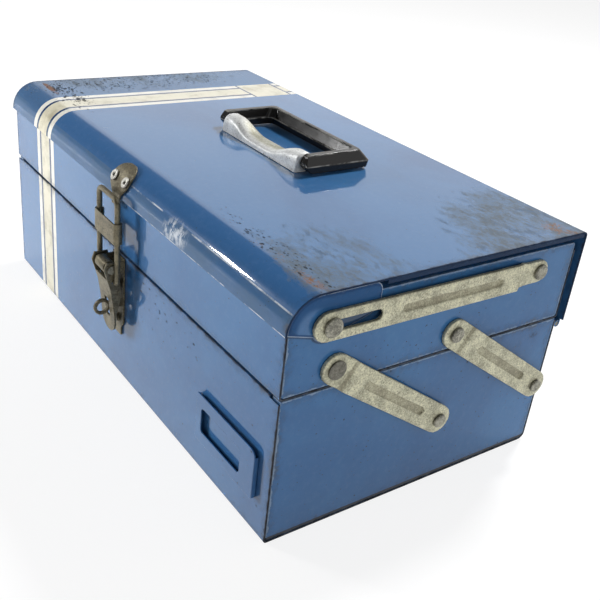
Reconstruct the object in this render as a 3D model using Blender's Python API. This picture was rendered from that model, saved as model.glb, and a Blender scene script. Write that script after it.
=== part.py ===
"""Two-tier sheet steel tool caddy: body, lifting tray, hinged lid, side linkage, draw latch
and folding handle.

Metres, +Z up. X runs along the length, -Y is the front with the latch, +Y is the hinge side.
The origin is the middle of the body's underside.
"""
import math

import bmesh
import bpy
from mathutils import Matrix, Vector

# Clearances
FIT_GAP = 0.0003
BORE_GAP = 0.0003
TRAY_SEAM = 0.0008
ARM_GAP = 0.0003
HEAD_GAP = 0.0003

# Sheet
SHEET = 0.0010
BEND_STEPS = 4

# Body
BODY_LENGTH = 0.4200
BODY_DEPTH = 0.2293
BODY_HEIGHT = 0.1022
BODY_FRONT_BEND = 0.0020
BODY_REAR_BEND = 0.0050
RIM_FLANGE = 0.0070
RIM_RELIEF = 0.0015
RIM_END = 0.0095
END_FLANGE = 0.0080
PAN_CORNER = 0.0016

# Tray
TRAY_FRONT_HEIGHT = 0.0450
TRAY_REAR_HEIGHT = 0.0520
TRAY_END_HEIGHT = 0.0565
TRAY_BEND = 0.0020
TRAY_CORNER = 0.0160

# Lid
LID_RISE = 0.0648
LID_ROLL = 0.0220
LID_PROUD = 0.0022
LID_OVERHANG = 0.0022
LID_REAR_BEND = 0.0030
LID_END_FLANGE = 0.0025
LID_FLANGE_CLEAR = 0.0020
CHEEK_REACH = 0.04185
CHEEK_CORNER = 0.0060
CHEEK_RIM = 0.0070
CHEEK_LOBE = 0.0115
CHEEK_STANDOFF = 0.0005

# Rear hinge
HINGE_DROP = 0.0052
KNUCKLE_RADIUS = 0.0027
KNUCKLE_COUNT = 9
KNUCKLE_GAP = 0.0005
LEAF_DEPTH = 0.0170
LEAF_CLEAR = 0.0035
PANEL_CLEAR = 0.0035
HINGE_PIN_RADIUS = 0.0014

# Side linkage
ARM_THICK = 0.0022
ARM_WIDTH = 0.0200
ARM_REACH = 0.0904
ARM_SPACING = 0.0924
REAR_PIN_INSET = 0.01085
LOWER_PIN_DROP = 0.0491
UPPER_PIN_RISE = 0.0125
ARM_JOGGLE = 0.0170
ARM_JOGGLE_RUN = 0.0040
SHORT_JOGGLE = 0.0095
SHORT_JOGGLE_RUN = 0.0030
SHORT_GROOVE_START = 0.0288
SHORT_GROOVE_END = 0.0214
ARM_PIN_RADIUS = 0.0032
UPPER_HEAD_RADIUS = 0.0062
LOWER_HEAD_RADIUS = 0.0048
HEAD_THICK = 0.0020
BACK_HEAD_RADIUS = 0.0058
BACK_HEAD_THICK = 0.0015
GROOVE_WIDTH = 0.0060
GROOVE_DEPTH = 0.0006
LID_ARM_WIDTH = 0.0185
LID_PIVOT_INSET = 0.03505
LID_PIVOT_RISE = 0.0428
GUIDE_PIN_INSET = 0.00655
GUIDE_PIN_DROP = 0.0205
LID_ARM_TIP = 0.0117
SLOT_WIDTH = 0.0070
SLOT_LENGTH = 0.0318
GUIDE_HEAD_RADIUS = 0.0060

# Label frame on the front
LABEL_END_GAP = 0.0130
LABEL_WIDTH = 0.0690
LABEL_BOTTOM = 0.0255
LABEL_HEIGHT = 0.0355
LABEL_LEFT_BORDER = 0.0065
LABEL_RIGHT_BORDER = 0.0155
LABEL_LOWER_BORDER = 0.0085
LABEL_UPPER_BORDER = 0.0090
LABEL_STANDOFF = 0.0034
LABEL_CORNER = 0.0050
WINDOW_CORNER = 0.0025

# Draw latch
LATCH_X = 0.0040
BASE_HALF = 0.0090
BASE_DROP = 0.0012
BASE_HEIGHT = 0.0640
BASE_THICK = 0.0012
EAR_THICK = 0.0015
EAR_BELOW = 0.0050
EAR_ABOVE = 0.0037
EAR_RADIUS = 0.0036
RIVET_RADIUS = 0.0020
RIVET_HEAD = 0.0012
RIVET_BELOW = (0.0455, 0.0175)
LEVER_AXIS_OUT = 0.01135
LEVER_AXIS_DROP = 0.0067
LEVER_HALF = 0.0112
LEVER_SHEET = 0.0015
LEVER_LENGTH = 0.0541
LEVER_TIP_IN = 0.0028
LEVER_KNEE_BELOW = 0.0320
LEVER_KNEE_IN = 0.0016
LEVER_BROW_BELOW = 0.0155
LEVER_BROW_OUT = 0.0010
LEVER_CROWN_ABOVE = 0.0055
LEVER_CROWN_OUT = 0.0073
LEVER_FLANGE_IN = 0.0065
LEVER_FLANGE_BELOW = 0.0365
LEVER_WEB_BELOW = 0.0085
LEVER_SLOT_FROM = 0.0417
LEVER_SLOT_TO = 0.0269
LEVER_SLOT_HALF = 0.0032
LEVER_PIN_RADIUS = 0.0022
ROLLER_RADIUS = 0.0048
EYE_OUT = 0.0026
EYE_BELOW = 0.0343
EYE_RADIUS = 0.0063
EYE_HOLE = 0.0040
EYE_THICK = 0.0026
EYE_STEM = 0.0056
BAIL_PIVOT_IN = 0.0025
BAIL_PIVOT_BELOW = 0.0100
BAIL_HALF = 0.0150
BAIL_WIRE = 0.0020
BAIL_TOP_DROP = 0.0185
BAIL_CORNER = 0.0050
BAIL_HOOK = 0.0090
BAIL_PLATE_DROP = 0.0165
BAIL_PLATE_HEIGHT = 0.0155
BAIL_PLATE_THICK = 0.0010
KEEPER_THICK = 0.0012
KEEPER_HEAD_HALF = 0.0130
KEEPER_TONGUE_HALF = 0.0055
KEEPER_TOP_ANGLE = 66.0
KEEPER_TIP_DROP = 0.0050
EYELET_ANGLE = 32.0
EYELET_HALF = 0.0085
EYELET_RADIUS = 0.0040
EYELET_TUBE = 0.0017
EYELET_HOLE = 0.0012

# Handle
HANDLE_X = 0.0050
HANDLE_Y = 0.0015
HANDLE_HALF = 0.0505
HANDLE_BASE_HALF_Y = 0.0085
HANDLE_END_RISE = 0.0135
HANDLE_LOW_RISE = 0.0055
HANDLE_END_LENGTH = 0.0150
HANDLE_DIP_HALF = 0.0120
HANDLE_AXIS_Y = 0.0022
HANDLE_AXIS_RISE = 0.0080
HANDLE_PIN_RADIUS = 0.0017
GRIP_SIDE_GAP = 0.0005
GRIP_ARM_WIDTH = 0.0095
GRIP_REAR = 0.0530
GRIP_CORNER = 0.0042
GRIP_LEVELS = (
    (0.0014, -0.0008, 0.0006, 0.0006, -0.0008, 0.0405),
    (0.0066, 0.0000, 0.0000, -0.0043, 0.0000, 0.0385),
    (0.0144, -0.0034, 0.0014, -0.0018, -0.0072, 0.0425),
)

# Derived places
HALF_X = BODY_LENGTH / 2.0
HALF_Y = BODY_DEPTH / 2.0
END_FACE = HALF_X - FIT_GAP
END_HALF_Y = HALF_Y - SHEET - FIT_GAP
TRAY_Z = BODY_HEIGHT + TRAY_SEAM
LID_TOP = BODY_HEIGHT + LID_RISE
HINGE_Z = BODY_HEIGHT - HINGE_DROP
LEAF_BOTTOM = HINGE_Z - LEAF_DEPTH
LEAF_TOP = HINGE_Z - LEAF_CLEAR
PANEL_BOTTOM = HINGE_Z + PANEL_CLEAR
ROLL_Y = -HALF_Y - LID_PROUD + LID_ROLL
ROLL_Z = LID_TOP - LID_ROLL
LID_HALF_X = HALF_X + LID_OVERHANG
HINGE_Y = HALF_Y + FIT_GAP + KNUCKLE_RADIUS
LID_REAR = HINGE_Y + KNUCKLE_RADIUS
CHEEK_IN = HALF_X + CHEEK_STANDOFF
CHEEK_OUT = CHEEK_IN + SHEET
ARM_INNER = HALF_X + ARM_GAP
ARM_OUTER = LID_HALF_X + ARM_GAP
REAR_LOWER = (HALF_Y - REAR_PIN_INSET, BODY_HEIGHT - LOWER_PIN_DROP)
FRONT_LOWER = (REAR_LOWER[0] - ARM_SPACING, REAR_LOWER[1])
FRONT_UPPER = (FRONT_LOWER[0] - ARM_REACH, TRAY_Z + UPPER_PIN_RISE)
REAR_UPPER = (REAR_LOWER[0] - ARM_REACH, TRAY_Z + UPPER_PIN_RISE)
LID_ARM_PIVOT = (HALF_Y - LID_PIVOT_INSET, TRAY_Z + LID_PIVOT_RISE)
GUIDE_PIN = (ROLL_Y + GUIDE_PIN_INSET, LID_TOP - GUIDE_PIN_DROP)
CHEEK_REAR = ROLL_Y + CHEEK_REACH
LID_FLANGE_START = CHEEK_REAR + LID_FLANGE_CLEAR
WALL_Y = -HALF_Y - FIT_GAP
HINGE_AXIS = (HINGE_Y, HINGE_Z)
LABEL_X = (HALF_X - LABEL_END_GAP - LABEL_WIDTH, HALF_X - LABEL_END_GAP)
LABEL_Z = (LABEL_BOTTOM, LABEL_BOTTOM + LABEL_HEIGHT)
LABEL_WINDOW_X = (LABEL_X[0] + LABEL_LEFT_BORDER, LABEL_X[1] - LABEL_RIGHT_BORDER)
LABEL_WINDOW_Z = (LABEL_Z[0] + LABEL_LOWER_BORDER, LABEL_Z[1] - LABEL_UPPER_BORDER)
LEVER_AXIS = (-HALF_Y - LEVER_AXIS_OUT, BODY_HEIGHT - LEVER_AXIS_DROP)
BASE_Z = (BODY_HEIGHT - BASE_DROP - BASE_HEIGHT, BODY_HEIGHT - BASE_DROP)
EAR_BOTTOM = LEVER_AXIS[1] - EAR_BELOW
EAR_TOP = LEVER_AXIS[1] + EAR_ABOVE
RIVET_Z = (LEVER_AXIS[1] - RIVET_BELOW[0], LEVER_AXIS[1] - RIVET_BELOW[1])
LEVER_TIP_Z = LEVER_AXIS[1] - LEVER_LENGTH
LEVER_TOP = LEVER_AXIS[1] + LEVER_CROWN_ABOVE
LEVER_FLANGE_REAR = LEVER_AXIS[0] + LEVER_FLANGE_IN
LEVER_FLANGE_BOTTOM = LEVER_AXIS[1] - LEVER_FLANGE_BELOW
LEVER_WEB_TOP = LEVER_AXIS[1] - LEVER_WEB_BELOW
LEVER_SLOT_Z = (LEVER_AXIS[1] - LEVER_SLOT_FROM, LEVER_AXIS[1] - LEVER_SLOT_TO)
EYE_CENTRE = (LEVER_AXIS[0] - EYE_OUT, LEVER_AXIS[1] - EYE_BELOW)
BAIL_PIVOT = (LEVER_AXIS[0] + BAIL_PIVOT_IN, LEVER_AXIS[1] - BAIL_PIVOT_BELOW)
BAIL_TOP = LID_TOP - BAIL_TOP_DROP
BAIL_PLATE_Z = (BAIL_TOP - BAIL_PLATE_DROP - BAIL_PLATE_HEIGHT, BAIL_TOP - BAIL_PLATE_DROP)
KEEPER_TIP_Z = ROLL_Z - KEEPER_TIP_DROP
HANDLE_END_TOP = LID_TOP + HANDLE_END_RISE
HANDLE_LOW_TOP = LID_TOP + HANDLE_LOW_RISE
HANDLE_AXIS = (HANDLE_AXIS_Y, LID_TOP + HANDLE_AXIS_RISE)


def clear_scene():
    for item in list(bpy.data.objects):
        bpy.data.objects.remove(item, do_unlink=True)


def make_material(name, colour, roughness, metallic):
    material = bpy.data.materials.new(name)
    material.use_nodes = True
    shader = material.node_tree.nodes["Principled BSDF"]
    shader.inputs["Base Color"].default_value = (*colour, 1.0)
    shader.inputs["Roughness"].default_value = roughness
    shader.inputs["Metallic"].default_value = metallic
    return material


def arc(centre, radius, start, end, steps):
    """Points on an arc in a plane, angles in degrees from the first axis."""
    points = []
    for index in range(steps + 1):
        angle = math.radians(start + (end - start) * index / steps)
        points.append((centre[0] + radius * math.cos(angle), centre[1] + radius * math.sin(angle)))
    return points


def circle(centre, radius, steps):
    return arc(centre, radius, 0.0, 360.0, steps)[:-1]


def offset(points, distance, closed=False):
    """The path moved to its left by a distance, with mitred corners."""
    count = len(points)
    moved = []
    for index in range(count):
        here = Vector(points[index])
        before = Vector(points[index - 1]) if closed or index > 0 else None
        after = Vector(points[(index + 1) % count]) if closed or index < count - 1 else None
        normals = []
        for first, second in ((before, here), (here, after)):
            if first is not None and second is not None:
                along = (second - first).normalized()
                normals.append(Vector((-along.y, along.x)))
        mean = (normals[0] + normals[-1]).normalized()
        moved.append(tuple(here + mean * (distance / mean.dot(normals[0]))))
    return moved


def rounded(corners, radii, steps=4):
    """A closed outline, anticlockwise, with each corner rounded to its radius."""
    count = len(corners)
    outline = []
    for index in range(count):
        here = Vector(corners[index])
        radius = radii[index]
        if radius <= 0.0:
            outline.append(tuple(here))
            continue
        back = (Vector(corners[index - 1]) - here).normalized()
        ahead = (Vector(corners[(index + 1) % count]) - here).normalized()
        half = back.angle(ahead) / 2.0
        centre = here + (back + ahead).normalized() * (radius / math.sin(half))
        first = here + back * (radius / math.tan(half)) - centre
        last = here + ahead * (radius / math.tan(half)) - centre
        for step in range(steps + 1):
            mixed = first.lerp(last, step / steps).normalized() * radius
            outline.append(tuple(centre + mixed))
    return outline


def side_on(a, b, c):
    """Plane of the ends: a is y, b is z, c is x."""
    return (c, a, b)


def front_on(a, b, c):
    """Plane of the front: a is x, b is z, c is y."""
    return (a, c, b)


def plan_on(a, b, c):
    """Plane of the top: a is x, b is y, c is z."""
    return (a, b, c)


def close_up(bm):
    loose = [vert for vert in bm.verts if not vert.link_faces]
    bmesh.ops.delete(bm, geom=loose, context="VERTS")
    bmesh.ops.recalc_face_normals(bm, faces=bm.faces[:])
    return bm


def sheet(outer, inner, stations, place, keep=None, spread=None):
    """Sheet metal: a strip between two rows of points, carried along the stations cell by cell."""
    bm = bmesh.new()
    rows = []
    for row in (outer, inner):
        grid = []
        for station in stations:
            line = []
            for index, (a, b) in enumerate(row):
                along = station * spread[index] if spread else station
                line.append(bm.verts.new(place(a, b, along)))
            grid.append(line)
        rows.append(grid)
    cells = set()
    for i in range(len(stations) - 1):
        for j in range(len(outer) - 1):
            if keep is None or keep(i, j):
                cells.add((i, j))
    for i, j in sorted(cells):
        corners = ((i, j), (i + 1, j), (i + 1, j + 1), (i, j + 1))
        for grid in rows:
            bm.faces.new([grid[p][q] for p, q in corners])
        sides = (((i, j - 1), 0, 1), ((i + 1, j), 1, 2), ((i, j + 1), 2, 3), ((i - 1, j), 3, 0))
        for neighbour, first, second in sides:
            if neighbour not in cells:
                (p, q), (r, s) = corners[first], corners[second]
                bm.faces.new((rows[0][p][q], rows[0][r][s], rows[1][r][s], rows[1][p][q]))
    return close_up(bm)


def points_near(face, place, loop, level):
    wanted = Vector(place(loop[0][0], loop[0][1], level))
    return min((vert.co - wanted).length for vert in face.verts) < 1e-6


def panel(outline, holes, place, near, far, rim_far=None, rim=None, rim_width=0.0, pockets=(),
          pocket_depth=0.0):
    """A plate with holes, near to far through its thickness, its rim turned back from the near face."""
    bm = bmesh.new()

    def ring(points):
        return [bm.verts.new(place(a, b, near)) for a, b in points]

    border = ring(outline)
    core = border
    faces = []
    turned_up = []
    if rim is not None:
        core = ring(offset(outline, rim_width, closed=True))
        count = len(border)
        for index in range(count):
            follow = (index + 1) % count
            face = bm.faces.new((border[index], border[follow], core[follow], core[index]))
            faces.append(face)
            if rim(index):
                turned_up.append(face)
    pocket_rings = [ring(loop) for loop in pockets]
    loops = [core] + [ring(hole) for hole in holes] + pocket_rings
    if len(loops) == 1:
        faces.append(bm.faces.new(core))
    else:
        edges = []
        for loop in loops:
            for index in range(len(loop)):
                pair = (loop[index - 1], loop[index])
                edges.append(bm.edges.get(pair) or bm.edges.new(pair))
        filled = bmesh.ops.triangle_fill(bm, edges=edges, use_beauty=True, use_dissolve=False)
        faces += [item for item in filled["geom"] if isinstance(item, bmesh.types.BMFace)]
        faces += [bm.faces.new(loop) for loop in pocket_rings]
    grown = bmesh.ops.extrude_face_region(bm, geom=faces)
    moved = [item for item in grown["geom"] if isinstance(item, bmesh.types.BMVert)]
    step = Vector(place(0.0, 0.0, far)) - Vector(place(0.0, 0.0, near))
    bmesh.ops.translate(bm, vec=step, verts=moved)
    if turned_up:
        grown = bmesh.ops.extrude_face_region(bm, geom=turned_up)
        moved = [item for item in grown["geom"] if isinstance(item, bmesh.types.BMVert)]
        step = Vector(place(0.0, 0.0, rim_far)) - Vector(place(0.0, 0.0, near))
        bmesh.ops.translate(bm, vec=step, verts=moved)
        bmesh.ops.delete(bm, geom=[face for face in turned_up if face.is_valid], context="FACES_ONLY")
    close_up(bm)
    for loop in pockets:
        floor = [face for face in bm.faces
                 if len(face.verts) == len(loop) and points_near(face, place, loop, far)]
        bmesh.ops.inset_individual(bm, faces=floor, thickness=pocket_depth, depth=-pocket_depth)
    return close_up(bm)


def turned(profile, steps, closed=False):
    """A profile of (radius, along) spun about the local z axis."""
    bm = bmesh.new()
    verts = [bm.verts.new((radius, 0.0, along)) for radius, along in profile]
    edges = [bm.edges.new((verts[index], verts[index + 1])) for index in range(len(verts) - 1)]
    if closed:
        edges.append(bm.edges.new((verts[-1], verts[0])))
    bmesh.ops.spin(bm, geom=verts + edges, cent=(0.0, 0.0, 0.0), axis=(0.0, 0.0, 1.0),
                   angle=2.0 * math.pi, steps=steps, use_merge=True, use_duplicate=False)
    bmesh.ops.remove_doubles(bm, verts=bm.verts[:], dist=1e-6)
    return close_up(bm)


def along_x(bm, centre, x=0.0):
    """Lays a turned piece along x, at a place in (y, z)."""
    turn = Matrix(((0.0, 0.0, 1.0, x), (1.0, 0.0, 0.0, centre[0]), (0.0, 1.0, 0.0, centre[1]),
                   (0.0, 0.0, 0.0, 1.0)))
    bm.transform(turn)
    return bm


def loft(sections, ring=False):
    """A skin over rings of points, capped at both ends or closed on itself."""
    bm = bmesh.new()
    rings = [[bm.verts.new(point) for point in section] for section in sections]
    pairs = list(zip(rings, rings[1:]))
    if ring:
        pairs.append((rings[-1], rings[0]))
    for first, second in pairs:
        for index in range(len(first)):
            bm.faces.new((first[index - 1], first[index], second[index], second[index - 1]))
    if not ring:
        bm.faces.new(rings[0])
        bm.faces.new(rings[-1])
    return close_up(bm)


def mirrored(bm):
    bmesh.ops.scale(bm, vec=(-1.0, 1.0, 1.0), verts=bm.verts[:])
    return close_up(bm)


CARRIERS = {}


def joint(name, place, parent=None):
    """An empty on a joint's axis, which carries the pieces that turn about it."""
    empty = bpy.data.objects.new(name, None)
    bpy.context.collection.objects.link(empty)
    empty.empty_display_size = 0.02
    where = Vector(place)
    empty.location = where
    if parent is not None:
        empty.parent = CARRIERS[parent][0]
        empty.location = where - CARRIERS[parent][1]
    CARRIERS[name] = (empty, where)


def add(name, bm, material, carrier=None):
    if carrier is not None:
        bmesh.ops.translate(bm, vec=-CARRIERS[carrier][1], verts=bm.verts[:])
    mesh = bpy.data.meshes.new(name)
    bm.to_mesh(mesh)
    bm.free()
    mesh.materials.append(material)
    mesh.shade_smooth()
    mesh.set_sharp_from_angle(angle=math.radians(35.0))
    item = bpy.data.objects.new(name, mesh)
    bpy.context.collection.objects.link(item)
    if carrier is not None:
        item.parent = CARRIERS[carrier][0]
    return item


def cutter(name, bm):
    mesh = bpy.data.meshes.new(name)
    bm.to_mesh(mesh)
    bm.free()
    item = bpy.data.objects.new(name, mesh)
    bpy.context.collection.objects.link(item)
    item.hide_render = True
    item.display_type = "WIRE"
    return item


def cut(item, *tools):
    for tool in tools:
        bore = item.modifiers.new(tool.name, "BOOLEAN")
        bore.operation = "DIFFERENCE"
        bore.solver = "EXACT"
        bore.object = tool


def rod(radius, start, end, steps):
    return turned([(0.0, start), (radius, start), (radius, end), (0.0, end)], steps)


def tray_profile(front_top, rear_top, floor_z, front_bend, rear_bend, relief):
    """Outer path of a wrapper: front flange, front wall, floor, rear wall, rear flange."""
    path = [(-HALF_Y + RIM_FLANGE, front_top), (-HALF_Y, front_top), (-HALF_Y, front_top - relief)]
    path += arc((-HALF_Y + front_bend, floor_z + front_bend), front_bend, 180.0, 270.0, BEND_STEPS)
    path += arc((HALF_Y - rear_bend, floor_z + rear_bend), rear_bend, 270.0, 360.0, BEND_STEPS)
    path += [(HALF_Y, rear_top - relief), (HALF_Y, rear_top), (HALF_Y - RIM_FLANGE, rear_top)]
    return path


def wrapper(path, drop):
    """The wrapper sheet, its rim flanges stopped short of the ends and the rim lowered there."""
    stations = [-HALF_X, -HALF_X + RIM_END, HALF_X - RIM_END, HALF_X]
    last = len(path) - 2

    def keep(i, j):
        return i == 1 or drop <= j <= last - drop

    return sheet(path, offset(path, SHEET), stations, side_on, keep)


def end_pan(bottom, top, radii, holes):
    corners = [(-END_HALF_Y, bottom), (END_HALF_Y, bottom), (END_HALF_Y, top), (-END_HALF_Y, top)]
    outline = rounded(corners, radii)
    bores = [circle(place, ARM_PIN_RADIUS + BORE_GAP, 12) for place in holes]
    inner_face = END_FACE - SHEET
    return panel(outline, bores, side_on, inner_face, END_FACE, END_FACE - END_FLANGE,
                 lambda index: True, SHEET)


def build_body(paint):
    path = tray_profile(BODY_HEIGHT, BODY_HEIGHT, 0.0, BODY_FRONT_BEND, BODY_REAR_BEND, RIM_RELIEF)
    box = add("body_wrapper", wrapper(path, 2), paint)
    inside = SHEET + FIT_GAP
    radii = (max(BODY_FRONT_BEND - inside, PAN_CORNER), max(BODY_REAR_BEND - inside, PAN_CORNER), 0.0, 0.0)
    for side in ("right", "left"):
        pan = end_pan(inside, BODY_HEIGHT, radii, (FRONT_LOWER, REAR_LOWER))
        add("body_end_" + side, pan if side == "right" else mirrored(pan), paint)
    return box


def build_tray(paint):
    front_top = TRAY_Z + TRAY_FRONT_HEIGHT
    rear_top = TRAY_Z + TRAY_REAR_HEIGHT
    path = tray_profile(front_top, rear_top, TRAY_Z, TRAY_BEND, TRAY_BEND, RIM_RELIEF)
    add("tray_wrapper", wrapper(path, 1), paint, "tray_axis")
    inside = SHEET + FIT_GAP
    lower = max(TRAY_BEND - inside, PAN_CORNER)
    radii = (lower, lower, BODY_FRONT_BEND, TRAY_CORNER)
    for side in ("right", "left"):
        bores = (FRONT_UPPER, REAR_UPPER, LID_ARM_PIVOT)
        pan = end_pan(TRAY_Z + inside, TRAY_Z + TRAY_END_HEIGHT, radii, bores)
        add("tray_end_" + side, pan if side == "right" else mirrored(pan), paint, "tray_axis")


def knuckle_spans(first):
    """Start and end of every second hinge knuckle along x."""
    pitch = BODY_LENGTH / KNUCKLE_COUNT
    spans = []
    for index in range(first, KNUCKLE_COUNT, 2):
        start = -HALF_X + index * pitch + KNUCKLE_GAP / 2.0
        spans.append((start, start + pitch - KNUCKLE_GAP))
    return spans


def in_spans(spans, low, high):
    middle = (low + high) / 2.0
    return any(start < middle < end for start, end in spans)


def build_hinge(paint, steel):
    path = [(HALF_Y + FIT_GAP, LEAF_BOTTOM), (HALF_Y + FIT_GAP, LEAF_TOP)]
    path += arc(HINGE_AXIS, KNUCKLE_RADIUS, 180.0, -110.0, 10)
    spans = knuckle_spans(1)
    end = HALF_X - END_FLANGE
    stations = sorted([-end, end] + [value for span in spans for value in span])

    def keep(i, j):
        return j == 0 or in_spans(spans, stations[i], stations[i + 1])

    add("hinge_leaf", sheet(path, offset(path, -SHEET), stations, side_on, keep), paint)
    pin = rod(HINGE_PIN_RADIUS, -HALF_X + KNUCKLE_GAP, HALF_X - KNUCKLE_GAP, 10)
    add("hinge_pin", along_x(pin, HINGE_AXIS), steel)


def build_lid_shell(paint):
    curl_steps = 10
    path = arc(HINGE_AXIS, KNUCKLE_RADIUS, -290.0, 0.0, curl_steps)
    path += [(LID_REAR, PANEL_BOTTOM)]
    rear_top = LID_REAR - LID_REAR_BEND
    path += arc((rear_top, LID_TOP - LID_REAR_BEND), LID_REAR_BEND, 0.0, 90.0, BEND_STEPS)
    path += [(LID_FLANGE_START, LID_TOP)]
    path += arc((ROLL_Y, ROLL_Z), LID_ROLL, 90.0, 180.0, 10)
    spans = knuckle_spans(0)
    edges = [LID_HALF_X, LID_HALF_X - SHEET, -LID_HALF_X, -LID_HALF_X + SHEET]
    stations = sorted(edges + [value for span in spans for value in span])

    def keep(i, j):
        return j > curl_steps or in_spans(spans, stations[i], stations[i + 1])

    bm = sheet(path, offset(path, SHEET), stations, side_on, keep)
    wanted_y = (rear_top + LID_FLANGE_START) / 2.0
    for sign in (-1.0, 1.0):
        centre = Vector((sign * (LID_HALF_X - SHEET / 2.0), wanted_y, LID_TOP - SHEET))
        strip = min(bm.faces, key=lambda face: (face.calc_center_median() - centre).length)
        grown = bmesh.ops.extrude_face_region(bm, geom=[strip])
        moved = [item for item in grown["geom"] if isinstance(item, bmesh.types.BMVert)]
        bmesh.ops.translate(bm, vec=(0.0, 0.0, -LID_END_FLANGE), verts=moved)
        if strip.is_valid:
            bmesh.ops.delete(bm, geom=[strip], context="FACES_ONLY")
    return add("lid_shell", close_up(bm), paint, "lid_axis")


def build_cheeks(paint):
    radius = LID_ROLL - SHEET - FIT_GAP
    top = ROLL_Z + radius
    low = CHEEK_REAR - CHEEK_CORNER
    outline = [(ROLL_Y - radius, ROLL_Z)]
    outline += arc(GUIDE_PIN, CHEEK_LOBE, 215.0, 325.0, 8)
    outline += [(low, ROLL_Z + SHEET), (CHEEK_REAR, ROLL_Z + CHEEK_CORNER)]
    outline += arc((low, top - CHEEK_CORNER), CHEEK_CORNER, 0.0, 90.0, BEND_STEPS)
    outline += arc((ROLL_Y, ROLL_Z), radius, 90.0, 180.0, 10)[:-1]

    def rim(index):
        first = outline[index]
        second = outline[(index + 1) % len(outline)]
        return min(first[1], second[1]) > ROLL_Z + CHEEK_CORNER and max(first[0], second[0]) < low + 1e-6

    for side in ("right", "left"):
        cheek = panel(outline, [], side_on, CHEEK_IN, CHEEK_OUT, CHEEK_IN - CHEEK_RIM, rim, SHEET)
        add("lid_cheek_" + side, cheek if side == "right" else mirrored(cheek), paint, "lid_axis")


def stadium(first, last, radius, steps=8):
    """An outline with two round ends on the local u axis."""
    return arc((last, 0.0), radius, -90.0, 90.0, steps) + arc((first, 0.0), radius, 90.0, 270.0, steps)


def joggle(bm, start, run, shift):
    """Steps the strip in along x below a place on its length."""
    for level in (start, start + run):
        geometry = bm.verts[:] + bm.edges[:] + bm.faces[:]
        bmesh.ops.bisect_plane(bm, geom=geometry, dist=1e-7, plane_co=(0.0, level, 0.0),
                               plane_no=(0.0, 1.0, 0.0))
    low = [vert for vert in bm.verts if vert.co.y < start + run / 2.0]
    bmesh.ops.translate(bm, vec=(shift, 0.0, 0.0), verts=low)
    return close_up(bm)


def lay_arm(bm, pivot, end):
    angle = math.atan2(end[1] - pivot[1], end[0] - pivot[0])
    bm.transform(Matrix.Translation((0.0, pivot[0], pivot[1])) @ Matrix.Rotation(angle, 4, "X"))
    return close_up(bm)


def reach(first, second):
    return math.hypot(second[0] - first[0], second[1] - first[1])


def short_arm(upper, lower):
    length = reach(upper, lower)
    half = ARM_WIDTH / 2.0
    bore = ARM_PIN_RADIUS + BORE_GAP
    groove = stadium(SHORT_GROOVE_START, length - SHORT_GROOVE_END, GROOVE_WIDTH / 2.0, 6)
    holes = [circle((0.0, 0.0), bore, 12), circle((length, 0.0), bore, 12)]
    bm = panel(stadium(0.0, length, half), holes, side_on, ARM_OUTER, ARM_OUTER + ARM_THICK,
               pockets=[groove], pocket_depth=GROOVE_DEPTH)
    return lay_arm(joggle(bm, SHORT_JOGGLE, SHORT_JOGGLE_RUN, ARM_INNER - ARM_OUTER), upper, lower)


def long_arm():
    length = reach(LID_ARM_PIVOT, GUIDE_PIN)
    half = LID_ARM_WIDTH / 2.0
    narrow = half - SHEET * 1.5
    outline = arc((length + LID_ARM_TIP - half, 0.0), half, -90.0, 90.0, 8)
    outline += [(ARM_JOGGLE + ARM_JOGGLE_RUN, half), (ARM_JOGGLE - ARM_JOGGLE_RUN, narrow)]
    outline += arc((0.0, 0.0), narrow, 90.0, 270.0, 8)
    outline += [(ARM_JOGGLE - ARM_JOGGLE_RUN, -narrow), (ARM_JOGGLE + ARM_JOGGLE_RUN, -half)]
    slot = stadium(length - SLOT_LENGTH, length, SLOT_WIDTH / 2.0, 6)
    start = ARM_JOGGLE + ARM_JOGGLE_RUN + GROOVE_WIDTH * 2.9
    groove = stadium(start, length - SLOT_LENGTH - GROOVE_WIDTH * 3.5, GROOVE_WIDTH / 2.0, 6)
    holes = [circle((0.0, 0.0), ARM_PIN_RADIUS + BORE_GAP, 12), slot]
    bm = panel(outline, holes, side_on, ARM_OUTER, ARM_OUTER + ARM_THICK, pockets=[groove],
               pocket_depth=GROOVE_DEPTH)
    return lay_arm(joggle(bm, ARM_JOGGLE, ARM_JOGGLE_RUN, ARM_INNER - ARM_OUTER), LID_ARM_PIVOT, GUIDE_PIN)


def wall_pin(outer, head_radius, collar=None):
    """A turned pin: head inside the wall, shank, optional spacer collar, domed head outside the arm."""
    back = END_FACE - SHEET - HEAD_GAP
    shank = ARM_PIN_RADIUS
    back_face = back - BACK_HEAD_THICK
    profile = [(0.0, back_face), (BACK_HEAD_RADIUS, back_face), (BACK_HEAD_RADIUS, back)]
    profile += [(shank, back)]
    if collar is not None:
        profile += [(shank, collar[0]), (BACK_HEAD_RADIUS, collar[0])]
        profile += [(BACK_HEAD_RADIUS, collar[1]), (shank, collar[1])]
    face = outer + HEAD_GAP
    profile += [(shank, face), (head_radius, face), (head_radius, face + HEAD_THICK * 0.5)]
    profile += [(head_radius * 0.8, face + HEAD_THICK * 0.9), (head_radius * 0.4, face + HEAD_THICK)]
    profile += [(0.0, face + HEAD_THICK)]
    return turned(profile, 14)


def guide_pin():
    start = LID_HALF_X + HEAD_GAP
    face = ARM_OUTER + ARM_THICK + HEAD_GAP
    profile = [(0.0, start), (ARM_PIN_RADIUS, start), (ARM_PIN_RADIUS, face), (GUIDE_HEAD_RADIUS, face)]
    profile += [(GUIDE_HEAD_RADIUS, face + HEAD_THICK * 0.5)]
    profile += [(GUIDE_HEAD_RADIUS * 0.8, face + HEAD_THICK * 0.9)]
    profile += [(GUIDE_HEAD_RADIUS * 0.4, face + HEAD_THICK), (0.0, face + HEAD_THICK)]
    return turned(profile, 14)


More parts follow.
